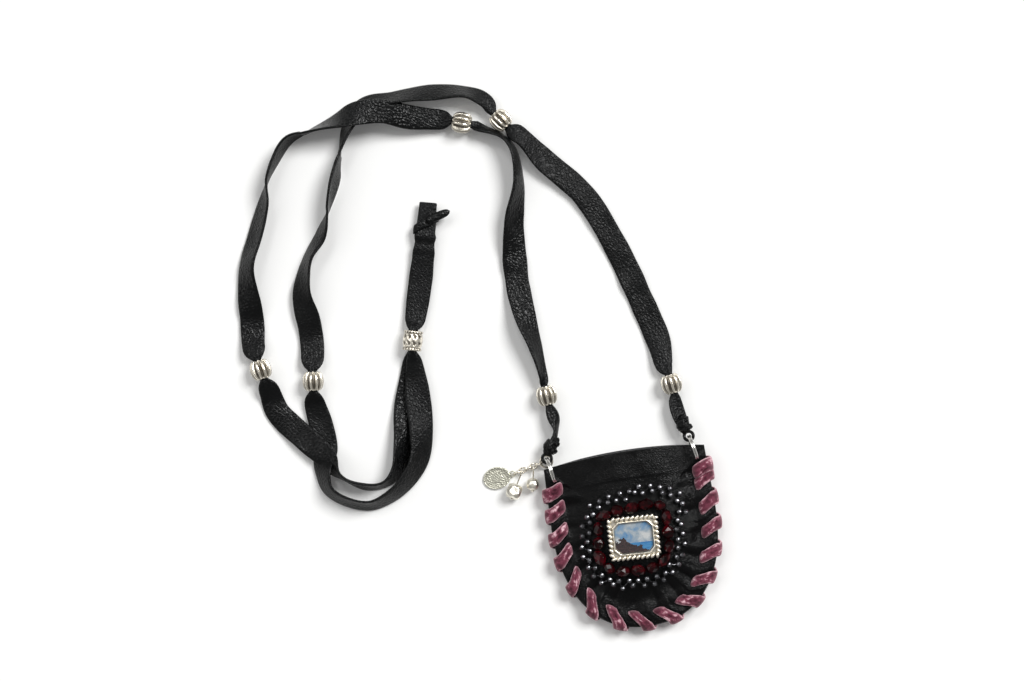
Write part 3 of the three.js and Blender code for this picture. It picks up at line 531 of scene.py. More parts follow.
def spline_window(t, j, span, at):
    """The two knots that one blend of the spline lies between, and where it is taken."""
    low, high = {1: (j, j + 1), 2: (j, j + 2), 3: (1, 2)}[span]
    return t[low], t[high], at


def blend_lists(a, b, low, high, at):
    share = (at - low) / (high - low)
    return [p + (q - p) * share for p, q in zip(a, b)]


def run_lengths(points):
    """How far along a line each of its points lies."""
    run = [0.0]
    for a, b in zip(points, points[1:]):
        run.append(run[-1] + (b - a).length)
    return run


def headings(points, loop=False):
    """The way along a line at each of its points."""
    ends = [points[-1], *points, points[0]] if loop else [points[0], *points, points[-1]]
    return [(after - before).normalized() for before, after in zip(ends, ends[2:])]


def closed_loop(points):
    """A function of the share of the way round a closed spline of pairs."""
    wrapped = [(*p, 0.0) for p in (points[-2:] + points + points[:3])]
    fine = smooth_run(wrapped, 0.2)
    start = min(range(len(fine)), key=lambda i: math.dist(fine[i][:2], points[0]))
    close = min(range(start + 20, len(fine)), key=lambda i: math.dist(fine[i][:2], points[0]))
    path = [Vector(p[:2]) for p in fine[start : close + 1]]
    run = run_lengths(path)

    def at(share):
        here = share % 1 * run[-1]
        i = min(max(bisect_right(run, here) - 1, 0), len(path) - 2)
        return path[i].lerp(path[i + 1], (here - run[i]) / max(run[i + 1] - run[i], 1e-9))

    return at


def lens(width, thick, crown=0.0, pleat=0.0, count=9):
    """A flat section with soft edges, underside first: pairs across and up."""
    edge = max(0.5, 1 - thick / width)
    marks = [math.sin(math.pi / 2 * (-1 + 2 * k / (count - 1))) for k in range(count)]

    def middle(v):
        return crown * (1 - v * v) + pleat * math.cos(2.5 * math.pi * v)

    def half(v):
        return thick / 2 * math.sqrt(max(0.0, 1 - (max(abs(v) - edge, 0) / (1 - edge)) ** 2))

    under = [(v * width / 2, middle(v) - half(v)) for v in marks]
    over = [(v * width / 2, middle(v) + half(v)) for v in reversed(marks[1:-1])]
    return under + over


def disc_section(radius, sides):
    return [(radius * math.cos(TAU * i / sides), radius * math.sin(TAU * i / sides)) for i in range(sides)]


def swept(points, frames, sections):
    """Rows of points; a frame is the pair of across and up at each point."""
    return [
        [p + across * a + up * b for a, b in section]
        for p, (across, up), section in zip(points, frames, sections)
    ]


def tube_rows(points, radius, sides, axis=UP, loop=False):
    """A round wire along points; axis never lies along the wire."""
    rows = []
    for p, tangent in zip(points, headings(points, loop)):
        across = axis.cross(tangent).normalized()
        rows.append([p + across * a + tangent.cross(across) * b for a, b in disc_section(radius, sides)])
    return rows


def smoothstep(low, high, x):
    t = min(max((x - low) / (high - low), 0.0), 1.0)
    return t * t * (3 - 2 * t)


def bell(x, width, power=2):
    """1 at nought and fading on both sides over the width."""
    return math.exp(-(abs(x / width) ** power))


def signed_power(value, power):
    return math.copysign(abs(value) ** power, value)


def wobble(x, y, size, seed=0.0):
    return noise.noise(Vector((x / size, y / size, seed)))


# Finishes


class Finish:
    """A node material in the making."""

    def __init__(self, name, **constants):
        self.material = bpy.data.materials.new(name)
        self.material.use_nodes = True
        self.nodes = self.material.node_tree.nodes
        self.links = self.material.node_tree.links
        self.shader = self.nodes["Principled BSDF"]
        self.place = self.nodes.new("ShaderNodeTexCoord").outputs["Object"]
        for label, value in constants.items():
            self.shader.inputs[label.replace("_", " ")].default_value = value

    def add(self, kind, inputs=None, out=0, **settings):
        node = self.nodes.new("ShaderNode" + kind)
        for key, value in settings.items():
            setattr(node, key, value)
        for key, value in (inputs or {}).items():
            self.feed(node.inputs[key], value)
        return node.outputs[out]

    def feed(self, socket, value):
        if isinstance(value, bpy.types.NodeSocket):
            self.links.new(value, socket)
        elif socket.type == "RGBA":
            socket.default_value = (*value, 1)
        else:
            socket.default_value = value

    def set(self, label, value):
        self.feed(self.shader.inputs[label], value)

    def math(self, operation, a, b=0.0, clamp=False):
        return self.add("Math", {0: a, 1: b}, operation=operation, use_clamp=clamp)

    def noise(self, size, detail=3.0, place=None, distort=0.0):
        settings = {"Vector": place or self.place, "Scale": 1 / size, "Detail": detail, "Distortion": distort}
        return self.add("TexNoise", settings)

    def cells(self, size, feature="F1", place=None):
        return self.add("TexVoronoi", {"Vector": place or self.place, "Scale": 1 / size}, feature=feature)

    def remap(self, value, low, high, to_low, to_high):
        return self.add("MapRange", {0: value, 1: low, 2: high, 3: to_low, 4: to_high})

    def ramp(self, value, *stops):
        ramp = self.nodes.new("ShaderNodeValToRGB")
        marks = ramp.color_ramp.elements
        while len(marks) < len(stops):
            marks.new(0.5)
        for mark, (position, colour) in zip(marks, stops):
            mark.position = position
            mark.color = (*colour, 1)
        self.links.new(value, ramp.inputs["Fac"])
        return ramp.outputs["Color"]

    def mix(self, share, a, b):
        node = self.nodes.new("ShaderNodeMix")
        node.data_type = "RGBA"
        for index, value in ((0, share), (6, a), (7, b)):
            self.feed(node.inputs[index], value)
        return node.outputs[2]

    def bump(self, height, strength, depth, below=None):
        inputs = {"Height": height, "Strength": strength, "Distance": depth}
        if below:
            inputs["Normal"] = below
        normal = self.add("Bump", inputs)
        self.set("Normal", normal)
        return normal


def shade(colour, factor):
    return tuple(min(c * factor, 1) for c in colour)


def grained_leather(name, tone, grain, shine):
    f = Finish(name, Specular_IOR_Level=0.14)
    patches = f.noise(0.009, 4)
    stretched = f.add("Mapping", {"Vector": f.place, "Scale": (1, 1.15, 1)})
    pebbles = f.remap(f.cells(grain, "DISTANCE_TO_EDGE", stretched), 0.0, 0.35, 0.0, 1.0)
    body = f.ramp(patches, (0.3, tone), (0.7, shade(tone, 2.0)))
    # Painted shade: the crevices between the grain's pebbles are painted darker, down to 0.4 of the tone.
    f.set("Base Color", f.mix(f.remap(pebbles, 0, 1, 0.6, 0), body, shade(tone, 0.4)))
    f.set("Roughness", f.remap(patches, 0.25, 0.75, shine, shine + 0.12))
    creases = f.bump(f.noise(0.0045, 5, distort=0.6), 0.16, 0.0007)
    grained = f.bump(pebbles, 0.4, 0.00025, creases)
    f.bump(f.noise(grain * 0.28, 2), 0.15, 0.00006, grained)
    return f.material


def lace_leather(name, tone):
    """Grained on both sides, a little duller on the underside."""
    f = Finish(name, Specular_IOR_Level=0.19)
    side = f.add("SeparateXYZ", {0: f.add("UVMap", uv_map="along")}, out=1)
    under = f.remap(side, 0.47, 0.53, 0.1, 0.0)
    patches = f.noise(0.012, 4)
    pebbles = f.remap(f.cells(0.0013, "DISTANCE_TO_EDGE"), 0, 0.35, 0, 1)
    f.set("Base Color", f.ramp(patches, (0.3, tone), (0.72, shade(tone, 2.0))))
    f.set("Roughness", f.math("ADD", f.remap(patches, 0.25, 0.75, 0.24, 0.36), under))
    creases = f.bump(f.noise(0.004, 4), 0.22, 0.0007)
    f.bump(pebbles, 0.5, 0.0003, creases)
    return f.material


def crushed_velvet(mid, pale_tone_and_sheen):
    """Random crushed streaks and patches, with painted sheen: lighter at the ribbon's edges and on faces
    turned away from the view, as over the rim.
    """
    f = Finish("mauve_velvet", Roughness=0.95, Specular_IOR_Level=0.1, Sheen_Weight=0.2,
               Sheen_Roughness=0.4, Sheen_Tint=(*pale_tone_and_sheen, 1))
    uv = f.add("UVMap", uv_map="along")
    across = f.add("SeparateXYZ", {0: uv}, out=1)
    streaks = f.noise(1.0, 4, f.add("Mapping", {"Vector": uv, "Scale": (0.22, 8.0, 1.0)}), 0.5)
    crush = f.noise(0.0022, 3, distort=0.8)
    ruck = f.math("ADD", f.math("MULTIPLY", streaks, 0.6), f.math("MULTIPLY", crush, 0.4))
    tone = f.remap(ruck, 0.36, 0.64, 0.0, 1.0)
    body = f.ramp(tone, (0.0, shade(mid, 0.3)), (0.36, shade(mid, 0.8)), (0.66, shade(mid, 1.5)), (1.0, pale_tone_and_sheen))
    # Painted sheen: a band along each edge of the ribbon, found from its across value on the UV map, is
    # painted lighter in patches.
    wave = f.math("ABSOLUTE", f.math("COSINE", f.math("MULTIPLY", across, TAU)))
    patchy = f.remap(f.noise(0.002), 0.36, 0.56, 0.15, 1.0)
    edge = f.math("MULTIPLY", f.math("POWER", wave, 9.0), patchy, True)
    # Painted sheen: faces that turn away from the view are painted lighter still.
    facing = f.add("LayerWeight", {"Blend": 0.3}, out=1)
    turned = f.math("MULTIPLY", f.math("POWER", facing, 1.6), 0.85, True)
    f.set("Base Color", f.mix(turned, f.mix(edge, body, pale_tone_and_sheen), shade(pale_tone_and_sheen, 1.1)))
    f.bump(f.noise(0.00022, 2), 0.6, 0.0002, f.bump(ruck, 0.5, 0.0006))
    return f.material


def antique_silver(name, bright, roughness, dents=0.0):
    """Polished on the high places and darkened in the recesses."""
    f = Finish(name, Metallic=1.0)
    depth = f.add("Attribute", attribute_name="hollow", out=2)
    stain = f.noise(0.0016, 4)
    dark = f.math("MULTIPLY", depth, f.remap(stain, 0.3, 0.7, 0.75, 1.0), True)
    tarnish = f.ramp(stain, (0.35, bright), (0.8, shade(bright, 0.78)))
    f.set("Base Color", f.mix(dark, tarnish, (0.045, 0.036, 0.026)))
    worn = f.remap(stain, 0.3, 0.7, roughness, roughness + 0.1)
    f.set("Roughness", f.math("ADD", worn, f.math("MULTIPLY", dark, 0.3)))
    low = f.bump(f.noise(0.0012, 2), 0.12, 0.0001)
    if dents:
        f.bump(f.cells(dents, "SMOOTH_F1"), 0.9, 0.6 * dents, low)
    return f.material


def garnet_red(colour):
    f = Finish("garnet", Roughness=0.04, Specular_IOR_Level=0.14, Coat_Weight=0.06, Coat_Roughness=0.02)
    depth = f.noise(0.0035, 2, distort=0.8)
    inside = f.ramp(depth, (0.36, shade(colour, 0.05)), (0.54, shade(colour, 0.3)), (0.74, colour))
    f.set("Base Color", inside)
    f.bump(f.noise(0.0011, 2), 0.08, 0.0001)
    return f.material


def hematite_black():
    f = Finish("hematite", Metallic=0.85)
    streak = f.noise(0.0014, 3)
    f.set("Base Color", f.ramp(streak, (0.3, (0.07, 0.07, 0.075)), (0.7, (0.16, 0.16, 0.17))))
    f.set("Roughness", f.remap(streak, 0.3, 0.7, 0.1, 0.17))
    return f.material


def landscape_print():
    """Pale cloud over blue water, with a dark shore that rises to the left."""
    f = Finish("printed_card", Roughness=0.55)
    turn = f.add("Mapping", {
        "Vector": f.place, "Location": (-FRAME_AT.x * MM, -FRAME_AT.y * MM, 0),
        "Rotation": (0, 0, -FRAME_TURN)}, vector_type="POINT")
    x = f.add("SeparateXYZ", {0: turn}, out=0)
    y = f.add("SeparateXYZ", {0: turn}, out=1)
    cloud = f.noise(0.0045, 5, turn, 0.4)
    sky = f.ramp(cloud, (0.36, (0.14, 0.37, 0.68)), (0.5, (0.5, 0.6, 0.68)), (0.64, (0.88, 0.9, 0.9)))
    ripple = f.noise(0.0016, 3, f.add("Mapping", {"Vector": turn, "Scale": (0.35, 1.6, 1)}))
    water = f.ramp(ripple, (0.3, (0.03, 0.22, 0.58)), (0.7, (0.12, 0.45, 0.8)))
    sea_line = f.math("GREATER_THAN", -0.0022, y)
    rough = f.remap(f.noise(0.003, 4, turn), 0.3, 0.7, -0.0050, -0.0012)
    shore = f.math("ADD", f.math("MULTIPLY", x, -0.42), rough)
    land = f.math("LESS_THAN", y, shore)
    earth = f.ramp(f.noise(0.0009, 3, turn), (0.35, (0.012, 0.008, 0.01)), (0.7, (0.09, 0.04, 0.035)))
    f.set("Base Color", f.mix(land, f.mix(sea_line, sky, water), earth))
    f.bump(f.noise(0.0004, 2), 0.05, 0.00002)
    return f.material


def clear_tile():
    f = Finish("clear_tile", Roughness=0.04, IOR=1.5, Alpha=0.14, Specular_IOR_Level=0.8)
    f.set("Base Color", f.ramp(f.noise(0.006, 2), (0.3, (0.02, 0.025, 0.03)), (0.7, (0.04, 0.045, 0.05))))
    return f.material


def waxed_thread():
    f = Finish("black_thread", Roughness=0.6, Specular_IOR_Level=0.12)
    f.set("Base Color", f.ramp(f.noise(0.0005, 2), (0.3, (0.002, 0.002, 0.002)), (0.7, (0.009, 0.009, 0.01))))
    return f.material


# Pouch form


def u_point(angle):
    """The rounded U below the widest place, as part of a superellipse."""
    x = HALF_WIDTH * signed_power(math.cos(angle), 2 / U_POWER)
    y = WIDEST_Y + U_DEPTH * signed_power(math.sin(angle), 2 / U_POWER)
    return Vector((x, y))


# The rim from the left corner of the mouth round to the right one.
SIDE_STEPS = 40
U_STEPS = 600
MOUTH_CORNERS = [Vector((side * MOUTH_HALF, MOUTH_Y)) for side in (-1, 1)]
WIDEST = [Vector((side * HALF_WIDTH, WIDEST_Y)) for side in (-1, 1)]
RIM = [MOUTH_CORNERS[0].lerp(WIDEST[0], i / SIDE_STEPS) for i in range(SIDE_STEPS)]
RIM += [u_point(math.pi * (1 + i / U_STEPS)) for i in range(U_STEPS + 1)]
RIM += [WIDEST[1].lerp(MOUTH_CORNERS[1], i / SIDE_STEPS) for i in range(1, SIDE_STEPS + 1)]
RIM_RUN = run_lengths(RIM)
RIM_LENGTH = RIM_RUN[-1]


def rim_at(distance):
    """The rim's point, heading and inward way at a distance from the left corner of the mouth."""
    distance = min(max(distance, 0.001 * RIM_LENGTH), 0.999 * RIM_LENGTH)
    i = min(bisect_right(RIM_RUN, distance) - 1, len(RIM) - 2)
    heading = (RIM[i + 1] - RIM[i]).normalized()
    point = RIM[i].lerp(RIM[i + 1], (distance - RIM_RUN[i]) / (RIM_RUN[i + 1] - RIM_RUN[i]))
    return point, heading, Vector((-heading.y, heading.x))


def mouth_y(x):
    return MOUTH_Y + MOUTH_ARCH * (1 - (x / MOUTH_HALF) ** 2)


def swell(x, y):
    """1 in the middle of a panel, falling to nought before the rim."""
    if y < WIDEST_Y:
        down = (WIDEST_Y - y) / U_DEPTH
        share = (abs(x / HALF_WIDTH) ** U_POWER + abs(down) ** U_POWER) ** (1 / U_POWER)
    else:
        up = (y - WIDEST_Y) / (MOUTH_Y - WIDEST_Y)
        share = abs(x) / (HALF_WIDTH + (MOUTH_HALF - HALF_WIDTH) * up)
    return (1 - min(share / FLAT_FROM, 1) ** 4) ** 1.5


def front_top(x, y):
    return RIM_Z + GAP / 2 + LEATHER + FRONT_RISE * swell(x, y)


def back_under(x, y):
    return max(0.0, RIM_Z - GAP / 2 - LEATHER - BACK_DROP * swell(x, y))


def hem_depth(x, y):
    inside = 1 - smoothstep(HEM_DEPTH - 0.4, HEM_DEPTH + 0.6, mouth_y(x) - y)
    return HEM_THICK * inside * min(1, 3 * swell(x, y))


def stitch_line(i, inset):
    """Where a stitch lies along the rim at some inset from it."""
    return STITCH_MIDDLES[i] + STITCH_LEANS[i] * (0.5 - min(max(inset / SLIT_INSET, 0), 1))


def gathers(point, distance, height):
    """How far soft leather stands out beside its stitches; negative in the slits and tension lines."""
    rim, heading, inward = rim_at(distance)
    inset = (point - rim).dot(inward)
    along = distance + (point - rim).dot(heading)
    offsets = [along - stitch_line(i, inset) for i in range(STITCHES)]
    stitch = min(range(STITCHES), key=lambda i: abs(offsets[i]))
    offset = offsets[stitch]
    strong = 0.8 + 0.8 * wobble(stitch * 3.7, 1.3, 1.0)
    fade = bell(max(inset - SLIT_INSET, 0), PUCKER_FADE) * smoothstep(-0.1, 1.2, inset)
    rise = height * strong * fade * (1 - bell(offset, STITCH_HOLLOW)) * bell(offset, SWELL_REACH, 4)
    slit = SLIT_DEPTH * bell(offset, SLIT_HALF, 4) * bell(inset - SLIT_INSET, SLIT_WIDTH)
    pull = 0.5 * strong * bell(offset, PULL_WIDTH) * bell(inset - PULL_INSET, PULL_REACH)
    lumps = 0.9 * height * wobble(point.x, point.y, LUMP_SIZE, 2.2) * bell(inset - LUMP_INSET, LUMP_REACH)
    return rise + lumps - slit - pull


def panel_outline(rim_steps=360, mouth_steps=120):
    """Pairs of distance along the rim and point; the mouth has no such distance."""
    along = [i / rim_steps * RIM_LENGTH for i in range(rim_steps + 1)]
    outline = [(distance, rim_at(distance)[0]) for distance in along]
    outline[0] = (0.0, MOUTH_CORNERS[0])
    outline[-1] = (RIM_LENGTH, MOUTH_CORNERS[1])
    for i in range(1, mouth_steps):
        x = MOUTH_HALF * (1 - 2 * i / mouth_steps)
        outline.append((None, Vector((x, mouth_y(x)))))
    return outline


OUTLINE = panel_outline()
# Shares of the way from the middle to the outline, closer together near the stitches.
SHARES = [0.06 * i for i in range(1, 11)] + [0.6 + 0.4 * i / 34 for i in range(1, 34)] + [0.994, 1.0]


def front_relief(point, distance, pucker):
    """Soft unevenness outside the ornament, the hem's ridge and the gathers along the rim."""
    x, y = point
    bare = smoothstep(BARE_FROM, BARE_FULLY, (point - FRAME_AT).length)
    soft = 0.8 * swell(x, y) * wobble(x, y, 12, 4.2) + 0.25 * wobble(x, y, 5.5, 9.1)
    inside = 1 - smoothstep(HEM_DEPTH - 1.8, HEM_DEPTH - 0.4, mouth_y(x) - y)
    ridge = 0.16 * inside * min(1, 2 * swell(x, y))
    return ridge + bare * soft + (gathers(point, distance, pucker) if distance is not None else 0.0)


def back_relief(point, distance, pucker):
    return -(gathers(point, distance, 0.7 * pucker) if distance is not None else 0.0)


def panel_rows(height, relief, pucker):
    """Rings of one face from its middle to its rim."""
    rows = []
    for share in SHARES:
        row = []
        for distance, edge in OUTLINE:
            at = MIDDLE.lerp(edge, share)
            row.append(Vector((at.x, at.y, height(at.x, at.y) + relief(at, distance, pucker))))
        rows.append(row)
    return rows


def closed_panel(outer, inner, name, finish):
    """Both faces of a leather panel with a rounded edge between them."""
    edges = list(zip(outer[-1], inner[-1]))
    for row, other in ((outer, inner), (inner, outer)):
        row[-1] = [p.lerp(q, 0.22) for p, q in zip(row[-1], other[-1])]
    rounding = [p.lerp(q, 0.5) + (p - Vector((*MIDDLE, p.z))).normalized() * 0.12 for p, q in edges]
    rows = [*outer, rounding, *inner[::-1]]
    clay = Clay().skin(rows, caps=False)
    ring = len(OUTLINE)
    for first, turned in ((0, True), ((len(rows) - 1) * ring, False)):
        middle = sum((clay.points[first + i] for i in range(ring)), Vector()) / ring
        clay.points.append(middle)
        clay.hollow.append(0.0)
        for i in range(ring):
            pair = (first + i, first + (i + 1) % ring)
            clay.face((len(clay.points) - 1, *(pair[::-1] if turned else pair)))
    return clay.piece(name, finish)


class BAG_OT_panels(bpy.types.Operator):
    """Two soft leather panels, puckered along the lacing, with a turned-in hem and its stitching"""

    bl_idname = "bag.panels"
    bl_label = "Leather panels"

    def execute(self, context):
        pouch = context.scene.bag_pouch
        finish = grained_leather("pouch_leather", tuple(pouch.leather), pouch.grain, 0.25)
        pucker = pouch.pucker / MM
        front = closed_panel(
            panel_rows(front_top, front_relief, pucker),
            panel_rows(lambda x, y: front_top(x, y) - LEATHER - hem_depth(x, y), front_relief, pucker),
            "pouch_front", finish,
        )
        settle(front, "pouch", "pouch_leather", "front_panel")
        back = closed_panel(
            panel_rows(back_under, back_relief, pucker),
            panel_rows(lambda x, y: back_under(x, y) + LEATHER + hem_depth(x, y), back_relief, pucker),
            "pouch_back", finish,
        )
        settle(back, "pouch", "pouch_leather", "back_panel")
        self.sew_hem(pucker)
        return {"FINISHED"}

    def sew_hem(self, pucker):
        """A running stitch through the hem."""
        steps = 80
        line = []
        for i in range(steps + 1):
            x = SEWN_HALF * (2 * i / steps - 1)
            at = Vector((x, mouth_y(x) - HEM_DEPTH + SEWN_INSET))
            line.append((x, at.y, front_top(x, at.y) + front_relief(at, None, pucker) - 0.02))
        sewing = Grower("hem_sewing", Spacing=0.0028)
        stitch = sewing.ball(around=8, rings=6, radius=0.00018, stretch=(4.6, 1, 0.8))
        sewn = sewing.copies(sewing.marks("Spacing"), stitch, Rotation=sewing.along())
        edges = [(i, i + 1) for i in range(steps)]
        stitches = sewing.grow("hem_stitches", line, edges, waxed_thread(), sewn)
        settle(stitches, "pouch", "pouch_leather")


class BAG_OT_edge_lacing(bpy.types.Operator):
    """Velvet ribbon whip-stitched round the rim"""

    bl_idname = "bag.edge_lacing"
    bl_label = "Velvet lacing"

    def execute(self, context):
        pouch = context.scene.bag_pouch
        stations = [station for i in range(STITCHES) for station in self.stitch(i)]
        fine = smooth_run(stations[:-1], 0.7)
        points = [Vector(s[:3]) for s in fine]
        frames = []
        sections = []
        for i, (s, tangent) in enumerate(zip(fine, headings(points))):
            rimway = Vector((s[3], s[4], 0)).normalized()
            frames.append((rimway, tangent.cross(rimway).normalized()))
            full = s[5] * (1 + 0.05 * wobble(i * 0.31, 7.7, 1.0))
            gather = smoothstep(0.85, 0.45, full / LACING_WIDTH)
            sections.append(lens(full, 1.15 * LACING_THICK, 0.4, 0.4 * gather, 13))
        ribbon = Clay().skin(swept(points, frames, sections)).piece(
            "velvet_lacing", crushed_velvet(tuple(pouch.velvet), tuple(pouch.nap_and_sheen)))
        settle(ribbon, "pouch", "velvet", "edge_lacing")
        return {"FINISHED"}

    def stitch(self, i):
        """Up through a slit, over the front to the rim, round it and back below to the next slit."""
        over = GAP / 2 + LEATHER + GAP + LACING_THICK / 2
        outside = GAP + 0.4 + LACING_THICK / 2
        start = stitch_line(i, SLIT_INSET)
        end = stitch_line(i, 0)
        lean = end - start
        back = max(stitch_line(min(i + 1, STITCHES - 1), SLIT_INSET) - end, 3.0)
        full = LACING_WIDTH * (1 + 0.1 * wobble(i * 2.3, 0.4, 1.0))
        lift = LAST_LIFT if i == STITCHES - 1 else 0.0
        # Distance along the rim, inset from it, height over it and share of the full width.
        steps = [
            (start, SLIT_INSET, -over, 0.8),
            (start, SLIT_INSET, over - 0.15, 0.9),
            (start + 0.1 * lean, 0.9 * SLIT_INSET, over + lift + 0.4, 0.97),
            (start + 0.5 * lean, 0.55 * SLIT_INSET, over + lift + 0.65, 1),
            (start + 0.88 * lean, 0.8, over + lift + 0.45, 1),
            (end, -outside - 0.5 * lift, 0.6 * over, 1),
            (end + 0.1 * back, -outside, -0.6 * over, 1),
            (end + 0.25 * back, 0.4, -over - 0.3, 1),
            (end + 0.7 * back, 0.6 * SLIT_INSET, -over - 0.25, 0.8),
        ]
        for along, inset, height, share in steps:
            point, heading, inward = rim_at(along)
            at = point + inward * inset
            yield (at.x, at.y, RIM_Z + height, heading.x, heading.y, full * share)


# Ornament


def cut_corners(width, height, corner):
    """A rectangle with its corners cut off, from the lower right one round."""
    w = width / 2
    h = height / 2
    return [
        (w - corner, -h), (w, corner - h), (w, h - corner), (w - corner, h),
        (corner - w, h), (-w, h - corner), (-w, corner - h), (corner - w, -h),
    ]


def in_frame(x, y, z=0.0):
    """A point of the picture frame, from its middle on the leather."""
    turned = Matrix.Rotation(FRAME_TURN, 2) @ Vector((x, y))
    return Vector((FRAME_AT.x + turned.x, FRAME_AT.y + turned.y, front_top(*FRAME_AT) + GAP + z))


class BAG_OT_picture_frame(bpy.types.Operator):
    """Silver frame with a rope border, its printed card and the clear tile over it"""

    bl_idname = "bag.picture_frame"
    bl_label = "Picture frame"

    def execute(self, context):
        ornament = context.scene.bag_ornament
        metal = antique_silver("frame_silver", tuple(ornament.silver), 0.28)
        self.tray(metal)
        self.rope_border(ornament.rope_lay, metal)
        for node, finish in (("picture_card", landscape_print()), ("glass_tile", clear_tile())):
            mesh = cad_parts[node].data
            mesh.materials.clear()
            mesh.materials.append(finish)
        return {"FINISHED"}

    def tray(self, metal):
        """Rings of a stepped frame from its outer foot over the lip and down inside the window."""
        outer = [side - ROPE for side in FRAME_SIZE]
        window = [side - 2 * FRAME_BORDER for side in FRAME_SIZE]
        # Side lengths, how much they grow, cut corner, height and depth of tarnish.
        rings = [
            (outer, 0.0, 0.5, 0.0, 0.3),
            (outer, 0.0, 0.5, 1.3, 0.6),
            (outer, -0.6, 0.6, 1.7, 0.55),
            (window, 1.3, 2.3, 1.7, 0.55),
            (window, 1.25, 2.3, 2.6, 0.1),
            (window, 0.9, 2.25, FRAME_DEPTH, 0.0),
            (window, 0.2, 2.2, FRAME_DEPTH, 0.0),
            (window, 0.0, 2.2, FRAME_DEPTH - 0.3, 0.1),
            (window, 0.0, 2.2, 0.8, 0.4),
        ]
        rows = []
        for (wide, tall), more, corner, height, _ in rings:
            rows.append([in_frame(x, y, height) for x, y in cut_corners(wide + more, tall + more, corner)])
        hollow = [[deep] * 8 for *_, deep in rings]
        tray = Clay().skin(rows, hollow=hollow).piece("picture_tray", metal, smooth=False)
        settle(worn_edges(tray, 0.00014, 30), "pouch", "antique_silver", "bezel_frame")

    def rope_border(self, lay, metal):
        corners = cut_corners(FRAME_SIZE[0] - 2.3, FRAME_SIZE[1] - 2.3, 0.7)
        path = [in_frame(x, y, FRAME_DEPTH - 0.75) for x, y in corners]
        rope = Grower("rope_border", Lay=lay, Strand=ROPE * MM / 2)
        strand = rope.ball(around=14, rings=9, radius=rope.source["Strand"], stretch=(1.48, 0.84, 0.95))
        laid = rope.copies(rope.marks("Lay"), strand, Rotation=rope.along((0.0, 0.0, math.radians(48))))
        border = rope.grow("rope_border", path, [(i, (i + 1) % 8) for i in range(8)], metal, laid)
        settle(border, "pouch", "antique_silver")


class BAG_OT_garnets(bpy.types.Operator):
    """Dark red faceted stones end to end round the frame"""

    bl_idname = "bag.garnets"
    bl_label = "Garnets"

    def execute(self, context):
        finish = garnet_red(tuple(context.scene.bag_ornament.garnet))
        at = closed_loop(GARNET_LOOP)
        clay = Clay()
        for i in range(GARNETS):
            here = FRAME_AT + at(i / GARNETS) * 0.95
            ahead = at(i / GARNETS + 0.004) - at(i / GARNETS - 0.004)
            length = GARNET_LENGTH * (1 + 0.14 * math.sin(2.4 * i))
            radius = GARNET_WIDTH / 2 * (1 + 0.1 * math.sin(1.7 * i + 1))
            heading = math.atan2(ahead.y, ahead.x) + 0.45 * math.sin(3.1 * i)
            middle = (*here, front_top(*here) + GAP + GARNET_WIDTH * 0.52)
            self.cut_stone(clay, placed(middle, heading), length, radius, i)
        stones = clay.piece("garnet_stones", finish, smooth=False)
        settle(stones, "pouch", "garnet", *(f"garnet_{i + 1:02d}" for i in range(GARNETS)))
        return {"FINISHED"}

    def cut_stone(self, clay, place, length, radius, seed):
        """A tumbled crystal: six-sided belts turned against each other, with a flat at each end."""
        belts = [(-0.49, 0.24), (-0.36, 0.66), (-0.12, 0.95), (0.12, 0.98), (0.35, 0.68), (0.48, 0.26)]
        points = []
        for k, (z, r) in enumerate(belts):
            for j in range(6):
                angle = TAU * (j + 0.5 * (k % 2)) / 6 + 0.5 * seed
                rough = 0.95 + 0.22 * noise.noise(Vector((j * 1.7, k * 2.3, seed * 3.1)))
                out = min(r * radius * rough, radius)
                at = (z * length, out * math.cos(angle), 0.92 * out * math.sin(angle))
                points.append(place @ Vector(at))
        faces = []
        for k in range(len(belts) - 1):
            for j in range(6):
                a = k * 6 + j
                b = k * 6 + (j + 1) % 6
                c = a + 6
                d = b + 6
                faces += [(a, b, c), (b, d, c)] if k % 2 == 0 else [(a, b, d), (a, d, c)]
        last = 6 * (len(belts) - 1)
        faces += [tuple(range(5, -1, -1)), tuple(range(last, last + 6))]
        clay.solid(points, faces)


